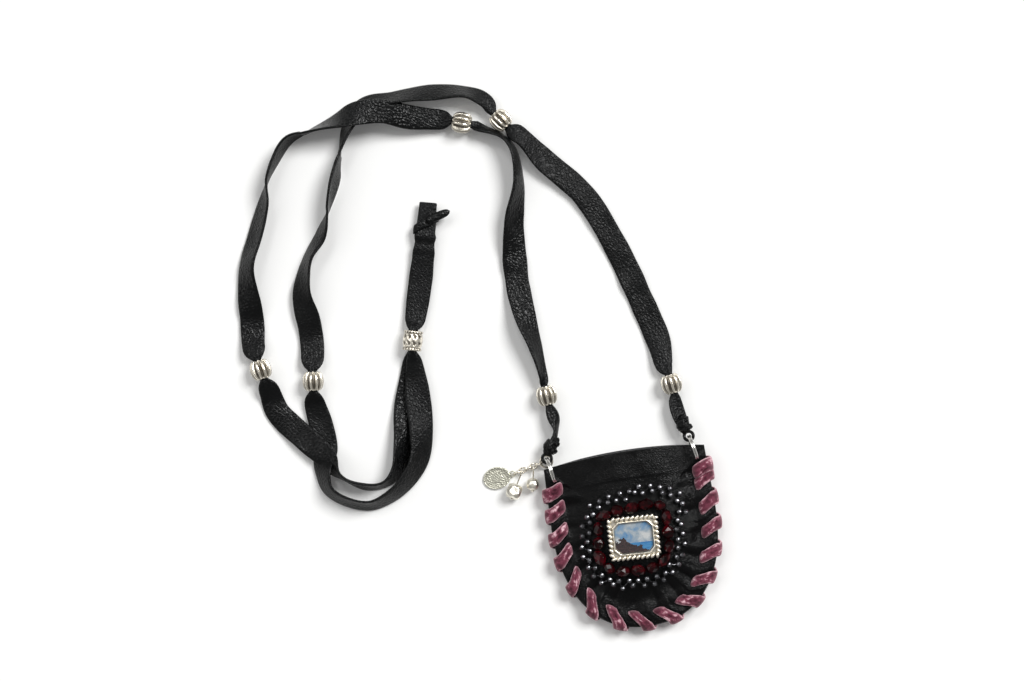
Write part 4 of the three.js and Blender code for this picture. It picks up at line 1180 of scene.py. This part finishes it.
class BAG_OT_seed_beads(bpy.types.Operator):
    """Small hematite beads on one thread that wanders round the stones"""

    bl_idname = "bag.seed_beads"
    bl_label = "Hematite seed beads"

    def execute(self, context):
        facets = context.scene.bag_ornament.seed_facets
        at = closed_loop(SEED_LOOP)
        points = []
        for i in range(SEEDS):
            here = at((i + 0.12 * math.sin(2.1 * i)) / SEEDS)
            stray = (-1) ** i * (1.25 + 0.3 * math.sin(1.7 * i)) + 0.35 * math.sin(4.3 * i) + 0.15
            here = FRAME_AT + here * (1 + stray / here.length)
            points.append((*here, front_top(*here) + GAP + SEED / 2))
        string = Grower("seed_string", Bead=SEED * MM / 2, Thread=0.00012)
        curve = string.path()
        bead = string.ball(around=facets, rings=5, radius=string.source["Bead"], stretch=(1, 1, 0.95))
        size = string.add("FunctionNodeRandomValue", {2: 0.86, 3: 1.04, "Seed": 5}, data_type="FLOAT")
        tilt = string.add("FunctionNodeRandomValue", {
            0: (-0.07, -0.07, 0.0), 1: (0.07, 0.07, 6.0), "Seed": 11}, data_type="FLOAT_VECTOR")
        loose = string.add("FunctionNodeEulerToRotation", {0: tilt})
        strung = string.copies(curve, bead, Rotation=loose, Scale=size)
        section = {"Resolution": 6, "Radius": string.source["Thread"]}
        profile = string.add("GeometryNodeCurvePrimitiveCircle", section)
        thread = string.add("GeometryNodeCurveToMesh", {"Curve": curve, "Profile Curve": profile})
        both = string.tree.nodes.new("GeometryNodeJoinGeometry")
        for part in (strung, thread):
            string.tree.links.new(part, both.inputs[0])
        edges = [(i, (i + 1) % SEEDS) for i in range(SEEDS)]
        beads = string.grow("hematite_beads", points, edges, hematite_black(), both.outputs[0], smooth=False)
        settle(beads, "pouch", "hematite", "hematite_string")
        return {"FINISHED"}


# Rings and charms


def ring_middle(side):
    return Vector((side * RING_HOLE[0], RING_HOLE[1], RING_Z)) + RING_WAY * RING_REACH


def ring_loop(side):
    """Where the lace's loop sits on a ring."""
    at = ring_middle(side) + RING_WAY * RING_REACH
    return Vector((at.x, at.y, RIM_Z))


class BAG_OT_rings(bpy.types.Operator):
    """Split rings of two coils through the corners of the pouch"""

    bl_idname = "bag.rings"
    bl_label = "Split rings"

    def execute(self, context):
        metal = antique_silver("bright_silver", (0.82, 0.81, 0.78), 0.12)
        side_way = RING_WAY.cross(UP)
        steps = 192
        turns = 1.97
        start = math.radians(200)
        for side, node in ((-1, "left_ring"), (1, "right_ring")):
            path = []
            for i in range(steps + 1):
                angle = TAU * turns * i / steps + start
                step = RING_WIRE / 2 * (2 * smoothstep(0.46, 0.54, i / steps) - 1)
                out = (RING_WAY * math.cos(angle) + UP * math.sin(angle)) * RING_RADIUS
                path.append(ring_middle(side) + side_way * step + out)
            coils = Clay().skin(tube_rows(path, RING_WIRE / 2 * 0.97, 10, side_way))
            settle(coils.piece("split_" + node, metal), node, "bright_silver", node)
        return {"FINISHED"}


def hook_point():
    reach = math.sqrt(RING_RADIUS**2 - (RING_Z - HOOK_Z) ** 2)
    at = ring_middle(-1) + RING_WAY * reach
    return Vector((at.x, at.y, 0))


CHARM_PLACE = placed(hook_point(), CHAIN_HEADING)
JUMP_AT = JUMP_RADIUS - JUMP_WIRE / 2 - RING_WIRE - 0.6
LINK_REACH = (LINK_LENGTH - LINK_WIRE) / 2
LINK_ROOM = LINK_REACH - LINK_WIRE / 2
LINK_FIRST = JUMP_AT + JUMP_RADIUS + LINK_ROOM - JUMP_WIRE / 2 - GAP
LINK_STEP = LINK_REACH + LINK_ROOM - LINK_WIRE
LINKS = [Vector((LINK_FIRST + i * LINK_STEP, 0, z)) for i, z in enumerate(LINK_HEIGHTS)]


class BAG_OT_charm_chain(bpy.types.Operator):
    """Jump ring and oval links that carry the charms"""

    bl_idname = "bag.charm_chain"
    bl_label = "Charm chain"

    def execute(self, context):
        metal = antique_silver("chain_silver", (0.82, 0.77, 0.66), 0.14)
        chain = Grower("charm_links", Heading=(0.0, 0.0, CHAIN_HEADING))
        stretch = (LINK_REACH, (LINK_WIDTH - LINK_WIRE) / 2, 1)
        link = chain.wire_ring(radius=MM, wire=0.56 * LINK_WIRE * MM, around=36, sides=10, stretch=stretch)
        index = chain.add("GeometryNodeInputIndex", {})
        after = chain.add("ShaderNodeMath", {0: index, 1: 1.0}, operation="ADD")
        even = chain.add("ShaderNodeMath", {0: after, 1: 2.0}, operation="MODULO")
        roll = chain.add("ShaderNodeMath", {0: even, 1: math.pi / 2}, operation="MULTIPLY")
        rolled = chain.add("FunctionNodeEulerToRotation", {0: chain.add("ShaderNodeCombineXYZ", {0: roll})})
        facing = chain.add("FunctionNodeEulerToRotation", {0: chain.source["Heading"]})
        turned = chain.add("FunctionNodeRotateRotation", {0: facing, 1: rolled}, rotation_space="LOCAL")
        points = chain.add("GeometryNodeMeshToPoints", {"Mesh": chain.source["Geometry"]})
        linked = chain.copies(points, link, Rotation=turned)
        links = chain.grow("chain_links", [CHARM_PLACE @ p for p in LINKS], [], metal, linked)
        settle(links, "charm_chain", "bright_silver", *(f"chain_link_{i + 1}" for i in range(len(LINKS))))

        circle = [CHARM_PLACE @ Vector((JUMP_AT + a, b, HOOK_Z)) for a, b in disc_section(JUMP_RADIUS, 64)]
        jump = Clay().skin(tube_rows(circle, JUMP_WIRE / 2, 12, UP, True), loop=True)
        settle(jump.piece("jump_ring", metal), "charm_chain", "bright_silver", "charm_jump_ring")
        return {"FINISHED"}


class BAG_OT_charms(bpy.types.Operator):
    """Hammered oval disc and two faceted nuggets on their pins"""

    bl_idname = "bag.charms"
    bl_label = "Charms"

    def execute(self, context):
        self.hammered_disc()
        metal = antique_silver("nugget_silver", (0.93, 0.89, 0.78), 0.26)
        self.nugget("small", metal, LINKS[1], heading=math.radians(66), reach=7.6, size=5.4, corners=0.56)
        self.nugget("large", metal, LINKS[3], heading=math.radians(47), reach=9.6, size=6.2, corners=0.66)
        return {"FINISHED"}

    def hammered_disc(self):
        """A dished oval with a rim, and its eye in the last link."""
        start = LINKS[-1] + Vector((LINK_ROOM - LINK_WIRE, 0, -0.15))
        drop = math.asin((start.z - DISC_THICK / 2) / (DISC_LENGTH + 2 * EYE))
        place = CHARM_PLACE @ placed(start, DISC_TURN) @ Matrix.Rotation(drop, 4, "Y")
        around = 56
        # Shares of the half length and of the thickness, and depth of tarnish, from the middle of the
        # underside to the middle of the top.
        profile = [
            (0.02, -0.5, 0.0), (0.5, -0.5, 0.0), (0.93, -0.5, 0.0), (0.985, -0.32, 0.0), (1.0, 0.0, 0.0),
            (0.985, 0.36, 0.0), (0.95, 0.5, 0.0), (0.91, 0.47, 0.0), (0.88, 0.4, 0.4), (0.6, 0.46, 0.15),
            (0.3, 0.5, 0.15), (0.02, 0.5, 0.15),
        ]
        rows = []
        for r, z, _ in profile:
            row = []
            for a, b in disc_section(r / 2, around):
                at = (2 * EYE + DISC_LENGTH / 2 + a * DISC_LENGTH, b * DISC_WIDTH, z * DISC_THICK)
                row.append(place @ Vector(at))
            rows.append(row)
        hollow = [[deep] * around for *_, deep in profile]
        clay = Clay().skin(rows, hollow=hollow)
        eye = [place @ Vector((EYE + a, b, 0)) for a, b in disc_section(EYE, 32)]
        clay.skin(tube_rows(eye, LINK_WIRE / 2, 10, UP, True), loop=True)
        disc = clay.piece("oval_disc", antique_silver("hammered_silver", (0.64, 0.63, 0.53), 0.34, 0.00055))
        settle(disc, "disc", "bright_silver", "disc_charm")

    def nugget(self, name, metal, link, heading, reach, size, corners):
        """A rounded cube on a pin; corners is the share of its size at which they are rounded off."""
        drop = -math.asin((0.59 * size - link.z) / reach)
        place = CHARM_PLACE @ placed(link, heading) @ Matrix.Rotation(drop, 4, "Y")
        shape = bmesh.new()
        bmesh.ops.create_icosphere(shape, subdivisions=2, radius=corners * size)
        limit = size / 2
        for vert in shape.verts:
            vert.co = Vector([min(max(c, -limit), limit) for c in vert.co])
            vert.co *= 0.97 + 0.06 * noise.noise(vert.co * 0.4 + Vector((size, 0, 0)))
        bmesh.ops.dissolve_limit(shape, angle_limit=math.radians(9), verts=shape.verts, edges=shape.edges)
        shape.verts.index_update()
        clay = Clay().solid(
            [place @ (v.co + Vector((reach, 0, 0))) for v in shape.verts],
            [[v.index for v in face.verts] for face in shape.faces],
        )
        shape.free()
        stone = clay.piece(f"faceted_{name}", metal, smooth=False)
        settle(worn_edges(stone, 0.00022, 12), f"{name}_charm", "bright_silver", f"nugget_{name}")
        loop = [place @ Vector((1 + a, 0, b)) for a, b in disc_section(1, 28)]
        pin = Clay().skin(tube_rows(loop, 0.26, 8, place.to_3x3() @ Vector((0, 1, 0)), True), loop=True)
        end = reach + size / 2 + 0.1
        stem = [(1.5, 0.3), (end, 0.3), (end, 0.66), (end + 0.12, 0.68), (end + 0.34, 0.45), (end + 0.4, 0.1)]
        pin.skin([[place @ Vector((x, a, b)) for a, b in disc_section(r, 12)] for x, r in stem])
        settle(pin.piece(f"head_pin_{name}", metal), f"{name}_charm", "bright_silver", f"pin_{name}")


# Neck lace


def resting_z(lift, roll, width):
    """Height of the lace's middle when its lower edge lies that far above the table."""
    lean = math.radians(roll)
    return lift + width / 2 * abs(math.sin(lean)) + LACE_THICK / 2 * abs(math.cos(lean))


def knot_point(side, route):
    loop = ring_loop(side)
    way = (Vector(route[0][:2]) - loop.to_2d()).normalized()
    at = loop.to_2d() + way * KNOT_REACH
    return Vector((at.x, at.y, RIM_Z + KNOT_RISE))


def lace_entries(side, route, upper):
    """Point, roll, width and length of bead, from a ring's knot to the end of the tail."""
    entries = [(knot_point(side, route), 30, 3.6, 0)]
    for entry in route:
        if len(entry) == 2:
            entries.append((Vector((*entry, MELON_DIAMETER / 2)), 0, 0, MELON_LENGTH))
        else:
            x, y, lift, roll, width = entry
            entries.append((Vector((x, y, resting_z(lift, roll, width))), roll, width, 0))
    layer = GATHERED[1] / 2 + 0.2
    height = SLIDER_DIAMETER / 2 + (layer if upper else -layer)
    entries.append((Vector((*SLIDER_AT, height)), 0, 0, SLIDER_LENGTH))
    for x, y, lift, width in TAIL:
        height = resting_z(lift, 0, width) + (LAYER if upper else 0)
        entries.append((Vector((x, y, height)), 0, width, 0))
    return entries


def lace_stations(side, route):
    """x, y, z, roll and width along one run, the places of its beads, and what grips it."""
    entries = lace_entries(side, route, side > 0)
    stations = []
    beads = []
    grips = []
    for i, (point, roll, width, bead) in enumerate(entries):
        if not bead:
            stations.append((*point, roll, width))
            continue
        way = (entries[i + 1][0] - entries[i - 1][0]) * Vector((1, 1, 0))
        beads.append((point, math.atan2(way.y, way.x)))
        grips.append((point, bead / 2))
        for end in (-1, 1):
            at = point + way.normalized() * end * (bead / 2 + 0.6)
            stations.append((*at, 0, entries[i + end][2]))
    return stations, beads[:-1], grips


def lace_rows(stations, grips, other, flipped):
    """Fine rings along one run; the leather keeps its width up to a bead and pleats into it."""
    fine = smooth_run([(*s[:3], 180 - s[3] if flipped else s[3], s[4]) for s in stations], 1.3)
    near_other = [Vector(s[:2]) for s in smooth_run(other, 4)]
    tail_end = Vector(fine[0 if flipped else -1][:3])
    points = []
    sections = []
    for x, y, z, roll, width in fine:
        here = Vector((x, y, z))
        near = min((here - grip).length - half for grip, half in grips)
        loose = 1 - (1 - min(max(near / SHOULDER, 0), 1)) ** 2.5
        width = GATHERED[0] + (max(width, GATHERED[0]) - GATHERED[0]) * loose
        alone = smoothstep(12, 20, min((here.to_2d() - p).length for p in near_other)) * loose
        wave = alone * WAVE_HEIGHT * max(0.0, wobble(x, y, 15, 5.5) + 0.1)
        away = (here - tail_end).length
        crumple = bell(away - CRUMPLE_AT, CRUMPLE_REACH) * smoothstep(6.5, 9, away)
        width *= 1 + 0.22 * crumple * wobble(x, y, 2.6, 1.1)
        if flipped:
            wave += CRUMPLE_HEIGHT * crumple * max(0.0, wobble(x, y, 3.1, 6.6) + 0.35)
        facing = math.cos(math.radians(roll))
        cup = CUP_HEIGHT * wobble(x, y, 17, 8.8) * loose * smoothstep(6, 30, away)
        dip = max(0.0, -cup * abs(facing))
        points.append(Vector((x, y, max(z, resting_z(0.15, roll, width)) + dip + wave)))
        thick = GATHERED[1] + (LACE_THICK - GATHERED[1]) * loose
        pleat = 1.6 * loose * (1 - loose) * (0.9 + 0.5 * wobble(x, y, 7))
        edge = 1 + 0.05 * wobble(x, y, 8, 3.3) * loose
        sections.append(lens(width * edge, thick, math.copysign(cup, cup * facing), pleat, 11))
    frames = []
    for (*_, roll, _), tangent in zip(fine, headings(points)):
        level = UP.cross(tangent).normalized()
        lean = math.radians(roll)
        across = level * math.cos(lean) + tangent.cross(level) * math.sin(lean)
        frames.append((across, tangent.cross(across)))
    return swept(points, frames, sections), points


def wrap_rows(middle, way, radius, turns, pitch, width, thick):
    """Flat leather wound round a line."""
    side = UP.cross(way).normalized()
    rise = way.cross(side)
    count = int(26 * turns)
    points = []
    for i in range(count + 1):
        angle = TAU * turns * i / count
        along = way * pitch * turns * (i / count - 0.5)
        points.append(middle + along + (side * math.cos(angle) + rise * math.sin(angle) * 0.8) * radius)
    frames = []
    for p, tangent in zip(points, headings(points)):
        out = p - middle
        out = (out - way * out.dot(way)).normalized()
        across = out.cross(tangent).normalized()
        frames.append((across, tangent.cross(across)))
    return swept(points, frames, [lens(width, thick, 0.12)] * len(points))


def strap_finish(context):
    """The lace and its tie share one leather."""
    made = bpy.data.materials.get("lace_leather")
    return made or lace_leather("lace_leather", tuple(context.scene.bag_strap.lace))


class BAG_OT_fluted_beads(bpy.types.Operator):
    """Fluted silver beads on the lace"""

    bl_idname = "bag.fluted_beads"
    bl_label = "Fluted beads"

    def execute(self, context):
        strap = context.scene.bag_strap
        metal = antique_silver("melon_silver", tuple(context.scene.bag_ornament.silver), 0.16)
        for letter, side, route in (("l", -1, LEFT_ROUTE), ("r", 1, RIGHT_ROUTE)):
            beads = lace_stations(side, route)[1]
            for n, (point, turn) in enumerate(beads):
                place = placed(point, turn) @ Matrix.Rotation(0.3 + 0.4 * n, 4, "X")
                bead = self.fluted(place, strap.lobes, strap.groove / MM)
                piece = bead.piece(f"fluted_{letter}{n + 1}", metal)
                settle(piece, "pouch", "antique_silver", f"melon_bead_{letter}{n + 1}")
        return {"FINISHED"}

    def fluted(self, place, lobes, depth):
        """A round body with grooves that fade at its ends, closed by the bore."""
        around = lobes * 14
        mouth = 0.27 * MELON_DIAMETER
        rows = []
        hollow = []
        for k in range(23):
            s = math.sin(math.pi / 2 * (-1 + 2 * k / 22))
            body = mouth + (MELON_DIAMETER / 2 - mouth) * (1 - abs(s) ** 2.3) ** 0.6
            row = []
            deep = []
            for i in range(around):
                angle = TAU * i / around
                valley = 1 - smoothstep(0.45, 0.95, abs(math.cos(lobes * angle / 2)))
                groove = valley * (1 - abs(s) ** 7)
                r = body - depth * groove
                row.append(place @ Vector((s * MELON_LENGTH / 2, r * math.cos(angle), r * math.sin(angle))))
                deep.append(min(1.0, 1.15 * groove))
            rows.append(row)
            hollow.append(deep)
        bore = MELON_BORE / 2
        for s, r in ((0.97, mouth), (0.9, bore), (-0.9, bore), (-0.97, mouth)):
            rows.append([place @ Vector((s * MELON_LENGTH / 2, a, b)) for a, b in disc_section(r, around)])
            hollow.append([0.6] * around)
        return Clay().skin(rows, loop=True, hollow=hollow)


class BAG_OT_slider(bpy.types.Operator):
    """Patterned silver barrel over both runs of the lace"""

    bl_idname = "bag.slider"
    bl_label = "Slider"

    def execute(self, context):
        metal = antique_silver("slider_silver", tuple(context.scene.bag_ornament.silver), 0.26)
        way = Vector(TAIL[0][:2]) - Vector(LEFT_ROUTE[-1][:2])
        place = placed((*SLIDER_AT, SLIDER_DIAMETER / 2), math.atan2(way.y, way.x))
        around = 120
        # Shares of the length and of the diameter, from end to end: a beaded rim, the belly, a beaded rim.
        rim = [(-0.5, 0.4), (-0.485, 0.455), (-0.43, 0.48), (-0.37, 0.455), (-0.35, 0.43)]
        belly = [-0.33 + 0.66 * i / 30 for i in range(31)]
        profile = [*rim, *((z, 0.44 + 0.05 * (1 - (z / 0.34) ** 2)) for z in belly)]
        profile += [(-z, r) for z, r in rim[::-1]]
        rows = []
        hollow = []
        for z, r in profile:
            carved = abs(z) < 0.47
            row = []
            deep = []
            for i in range(around):
                angle = TAU * i / around
                low = 1 - self.pattern(angle, z)
                radius = r * SLIDER_DIAMETER - CARVING * low * carved
                at = (z * SLIDER_LENGTH, radius * math.cos(angle), radius * math.sin(angle))
                row.append(place @ Vector(at))
                deep.append(low if carved else 0.1)
            rows.append(row)
            hollow.append(deep)
        for z in (0.49, -0.49):
            bore = disc_section(SLIDER_BORE / 2, around)
            rows.append([place @ Vector((z * SLIDER_LENGTH, a, b)) for a, b in bore])
            hollow.append([0.8] * around)
        barrel = Clay().skin(rows, loop=True, hollow=hollow).piece("patterned_slider", metal)
        settle(barrel, "slider", "antique_silver", "slider_bead")
        return {"FINISHED"}

    def pattern(self, angle, z):
        """1 on the raised scrolls and rim beads, nought in the ground between them."""
        if abs(z) < 0.34:
            scroll = math.sin(5 * angle + 9 * z) * math.sin(5 * angle - 9 * z + 1.0)
            vein = math.cos(10 * angle) * math.cos(19 * z)
            return smoothstep(-0.42, 0.0, 0.7 * scroll + 0.45 * vein)
        if 0.36 < abs(z) < 0.47:
            return smoothstep(-0.5, 0.3, math.cos(18 * angle))
        return 0.0


class BAG_OT_tail_tie(bpy.types.Operator):
    """A short thong knotted round the doubled tail"""

    bl_idname = "bag.tail_tie"
    bl_label = "Tail tie"

    def execute(self, context):
        start, end = (Vector(t) for t in TAIL[-2:])
        x, y, lift, width = start.lerp(end, TIE_AT)
        way = Vector((end.x - start.x, end.y - start.y, 0)).normalized()
        side = way.cross(UP)
        low = lift - 1.3 * GAP - 0.3
        high = lift + LAYER + LACE_THICK + 1.3 * GAP + 0.35
        middle = Vector((x, y, (low + high) / 2))
        half = Vector((width / 2 + 0.95, (high - low) / 2 + 0.1))
        clay = Clay()
        self.band(clay, middle, way, side, half)
        self.stub(clay, middle, way, side, half)
        thong = clay.piece("tie_thong", strap_finish(context))
        settle(thong, "pouch", "strap_leather", "tail_tie")
        return {"FINISHED"}

    def band(self, clay, middle, way, side, half):
        """One slanted turn round both runs of the tail."""
        points = []
        frames = []
        for c, s in disc_section(1, 72):
            flat = side * (signed_power(c, 0.45) * half.x) + UP * (signed_power(s, 0.45) * half.y)
            points.append(middle + flat + way * (TIE_SLANT * signed_power(c, 0.6) - 3.0))
            frames.append((way, (side * c / half.x + UP * s / half.y).normalized()))
        sections = [lens(TIE_WIDTH, TIE_THICK, 0.1)] * len(points)
        clay.skin(swept(points, frames, sections), loop=True)

    def stub(self, clay, middle, way, side, half):
        """The thong's end, which sticks out over one edge of the tail."""
        out = side * math.cos(STUB_LEAN) + way * math.sin(STUB_LEAN)
        root = middle + UP * (half.y + 0.35) + side * (half.x - 4.6) - way * 2.2
        points = []
        sections = []
        for i in range(17):
            share = i / 16
            points.append(root + (out * STUB_LENGTH - UP * 0.3) * share)
            wide = STUB_WIDTH * math.sqrt(max(0.02, 1 - share**8)) + 0.4 * math.sin(math.pi * share)
            sections.append(lens(wide, min(1.4, wide), 0.35))
        clay.skin(swept(points, [(UP.cross(out), UP)] * len(points), sections))


class BAG_OT_neck_lace(bpy.types.Operator):
    """One flat leather lace from ring to ring, doubled in the slider and folded at the tail"""

    bl_idname = "bag.neck_lace"
    bl_label = "Neck lace"

    def execute(self, context):
        leather = strap_finish(context)
        left, left_beads, left_grips = lace_stations(-1, LEFT_ROUTE)
        right, right_beads, right_grips = lace_stations(1, RIGHT_ROUTE)
        out_rows, out_line = lace_rows(left, left_grips, right, False)
        back_rows, back_line = lace_rows(right[::-1], right_grips, left, True)
        fold_rows, fold_line = self.fold(out_line, back_line[0], left[-1][4])
        rows = out_rows + fold_rows + back_rows
        line = out_line + fold_line + back_line
        lace = Clay().skin(rows).piece("flat_lace", leather)
        self.follow_slider(lace, rows, line)
        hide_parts("neck_lace")
        pieces = [
            self.knot("left_knot", -1, LEFT_ROUTE, leather),
            self.knot("right_knot", 1, RIGHT_ROUTE, leather),
        ]
        names = ["patterned_slider", "tie_thong"]
        names += [f"fluted_l{n + 1}" for n in range(len(left_beads))]
        names += [f"fluted_r{n + 1}" for n in range(len(right_beads))]
        pieces += [bpy.data.objects[name] for name in names]
        cord = [ring_loop(-1), *line, ring_loop(1)]
        length = run_lengths(cord)[-1]
        return {"FINISHED"}

    def fold(self, out_line, top, width):
        """The lace turns back over itself at the end of the tail."""
        way = (out_line[-1] - out_line[-4]) * Vector((1, 1, 0))
        way.normalize()
        across = UP.cross(way)
        middle = (out_line[-1] + top) / 2
        half = (top.z - out_line[-1].z) / 2
        points = []
        frames = []
        for i in range(1, 8):
            angle = math.pi * (i / 8 - 0.5)
            points.append(middle + (way * math.cos(angle) + UP * math.sin(angle)) * half)
            tangent = UP * math.cos(angle) - way * math.sin(angle)
            frames.append((across, tangent.cross(across)))
        section = lens(width, LACE_THICK, 0.0, 0.0, 11)
        return swept(points, frames, [section] * len(points)), points

    def follow_slider(self, lace, rows, line):
        """Shares of how far each ring of the lace would go with the slider, the loop side giving length and
        the tail taking it up, are worked out but not used; the lace's placement is baked into its mesh.
        """
        grip = Vector((*SLIDER_AT, SLIDER_DIAMETER / 2))
        run = run_lengths(line)
        near = sorted(range(len(line)), key=lambda i: (line[i] - grip).length)
        fold = len(rows) // 2
        marks = [run[next(i for i in near if i < fold)], run[next(i for i in near if i >= fold)]]
        follow = []
        for here, row in zip(run, rows):
            inside = marks[0] < here < marks[1]
            away = min(abs(here - mark) for mark in marks) - SLIDER_LENGTH / 2
            follow += [min(max(1 - away / (TAIL_ROOM if inside else LOOP_ROOM), 0), 1)] * len(row)
        Vector((*TAIL[0][:2], grip.z)) * MM
        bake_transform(lace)

    def lump(self, clay, middle, way, reach, seed):
        """Crumpled leather pulled tight."""
        across = UP.cross(way).normalized()
        axes = (way, across, way.cross(across))
        rows = []
        for i in range(1, 24):
            lat = math.pi * i / 24
            row = []
            for a, b in disc_section(math.sin(lat), 40):
                out = Vector((math.cos(lat), a, b))
                crease = abs(noise.noise(out * 1.6 + Vector((seed, 0, 3))))
                size = 0.82 + 0.5 * (crease + 0.5 * abs(noise.noise(out * 3.4)))
                parts = (axis * share * far * size for axis, share, far in zip(axes, out, reach))
                row.append(middle + sum(parts, Vector()))
            rows.append(row)
        clay.skin(rows)

    def knot(self, name, side, route, leather):
        """A loop round the ring, two crumpled lumps and a tight turn round the lace."""
        loop = ring_loop(side)
        knot = knot_point(side, route)
        way = (Vector((*route[0][:2], knot.z)) - knot).normalized()
        aside = way.cross(UP)
        ring = [loop + Vector((a, b, 0)) for a, b in disc_section(1.9, 40)]
        frames = [((p - loop).normalized(), UP) for p in ring]
        clay = Clay().skin(swept(ring, frames, [lens(1.35, 1.6)] * len(ring)), loop=True)
        self.lump(clay, knot + way * 0.7, way, (2.7, 2.7, 2.5), side)
        self.lump(clay, knot + way * 3.9 + aside * 1.1 - UP * 0.5, way, (2.3, 2.0, 1.9), side + 5)
        slant = (way + aside * 0.4).normalized()
        turn = wrap_rows(knot + way * 2.4, slant, radius=2.25, turns=1.3, pitch=1.4, width=2.4, thick=0.9)
        clay.skin(turn)
        return settle(clay.piece(name, leather), "pouch", "strap_leather")


# Stage


class BAG_OT_stage(bpy.types.Operator):
    """Pale table top, soft light and the camera straight above"""

    bl_idname = "bag.stage"
    bl_label = "Stage"

    def execute(self, context):
        scene = context.scene
        stage = scene.bag_stage
        scene.view_settings.view_transform = "Standard"
        self.set_camera(scene, stage.camera_height)
        self.lay_table(tuple(stage.floor))
        self.hang_lamps(scene, stage.key_light)
        scene.world = self.surround(stage.surround, stage.ceiling)
        return {"FINISHED"}

    def set_camera(self, scene, height):
        camera = bpy.data.cameras.new("above")
        camera.sensor_width = 36
        camera.lens = camera.sensor_width * height / VIEW_ACROSS
        view = bpy.data.objects.new("above", camera)
        view.location = VIEW_CENTRE + UP * height
        view.rotation_euler = (0, 0, VIEW_TURN)
        scene.collection.objects.link(view)
        scene.camera = view

    def lay_table(self, tone):
        """A matt table top that is a little brighter where it is only looked at."""
        f = Finish("table_top", Roughness=0.9, Specular_IOR_Level=0.05)
        f.set("Base Color", f.ramp(f.noise(0.4, 2), (0.3, tone), (0.7, shade(tone, 1.01))))
        seen = f.add("LightPath", out="Is Camera Ray")
        for ray in ("Is Glossy Ray", "Is Transmission Ray"):
            seen = f.math("MAXIMUM", seen, f.add("LightPath", out=ray))
        f.set("Emission Color", (1, 1, 1))
        f.set("Emission Strength", f.math("MULTIPLY", seen, 0.07))
        reach = 3000
        corners = ((-reach, -reach), (reach, -reach), (reach, reach), (-reach, reach))
        table = Clay().solid([Vector((x, y, -0.05)) for x, y in corners], [(0, 1, 2, 3)])
        table.piece("table_top", f.material)

    def hang_lamps(self, scene, strength):
        """Soft lamps: right, up and above in the view, spread in degrees and share of the light."""
        right = Vector((math.cos(VIEW_TURN), math.sin(VIEW_TURN), 0))
        up = Vector((-math.sin(VIEW_TURN), math.cos(VIEW_TURN), 0))
        lamps = [
            ("key", 0.55, 0.5, 0.85, 26, 1.0),
            ("fill", -0.7, 0.25, 0.8, 45, 0.24),
            ("window", -0.2, 0.62, 0.9, 15, 0.16),
        ]
        for name, along, ahead, above, spread, share in lamps:
            offset = right * along + up * ahead + UP * above
            light = bpy.data.lights.new(name, "SUN")
            light.angle = math.radians(spread)
            light.energy = share * strength
            lamp = bpy.data.objects.new(name, light)
            lamp.location = VIEW_CENTRE + offset
            lamp.rotation_euler = (-offset).to_track_quat("-Z", "Y").to_euler()
            scene.collection.objects.link(lamp)

    def surround(self, level, ceiling):
        """White all round to the camera and through glass, and dimmer in reflections and as light."""
        world = bpy.data.worlds.new("surround")
        world.use_nodes = True
        nodes = world.node_tree.nodes
        links = world.node_tree.links
        sky = nodes["Background"]
        sky.inputs["Color"].default_value = (1, 1, 1, 1)
        rays = nodes.new("ShaderNodeLightPath").outputs
        strength = None
        seen = (("Is Camera Ray", 1.0), ("Is Transmission Ray", 1.0), ("Is Glossy Ray", ceiling))
        for ray, bright in seen:
            step = nodes.new("ShaderNodeMath")
            step.operation = "MULTIPLY_ADD"
            links.new(rays[ray], step.inputs[0])
            step.inputs[1].default_value = bright - level
            step.inputs[2].default_value = level
            if strength:
                links.new(strength, step.inputs[2])
            strength = step.outputs[0]
        links.new(strength, sky.inputs["Strength"])
        return world


OPERATORS = [
    BAG_OT_stage, BAG_OT_fluted_beads, BAG_OT_slider, BAG_OT_tail_tie, BAG_OT_neck_lace, BAG_OT_panels,
    BAG_OT_edge_lacing, BAG_OT_picture_frame, BAG_OT_garnets, BAG_OT_seed_beads, BAG_OT_rings,
    BAG_OT_charm_chain, BAG_OT_charms,
]


class BAG_PT_sidebar(bpy.types.Panel):
    """Sizes, colours and pieces of the bag"""

    bl_idname = "BAG_PT_sidebar"
    bl_label = "Medicine Bag"
    bl_space_type = "VIEW_3D"
    bl_region_type = "UI"
    bl_category = "Medicine Bag"

    def draw(self, context):
        for label, settings in SETTINGS.items():
            box = self.layout.box()
            for name in settings.__annotations__:
                box.prop(getattr(context.scene, label), name)
        for operator in OPERATORS:
            self.layout.operator(operator.bl_idname)


CLASSES = [*SETTINGS.values(), *OPERATORS, BAG_PT_sidebar]


def register():
    for cls in CLASSES:
        bpy.utils.register_class(cls)
    for label, settings in SETTINGS.items():
        setattr(bpy.types.Scene, label, PointerProperty(type=settings))


def unregister():
    for label in SETTINGS:
        delattr(bpy.types.Scene, label)
    for cls in reversed(CLASSES):
        bpy.utils.unregister_class(cls)


def main():
    register()
    for operator in OPERATORS:
        group, name = operator.bl_idname.split(".")
        getattr(getattr(bpy.ops, group), name)()


if __name__ == "__main__":
    main()
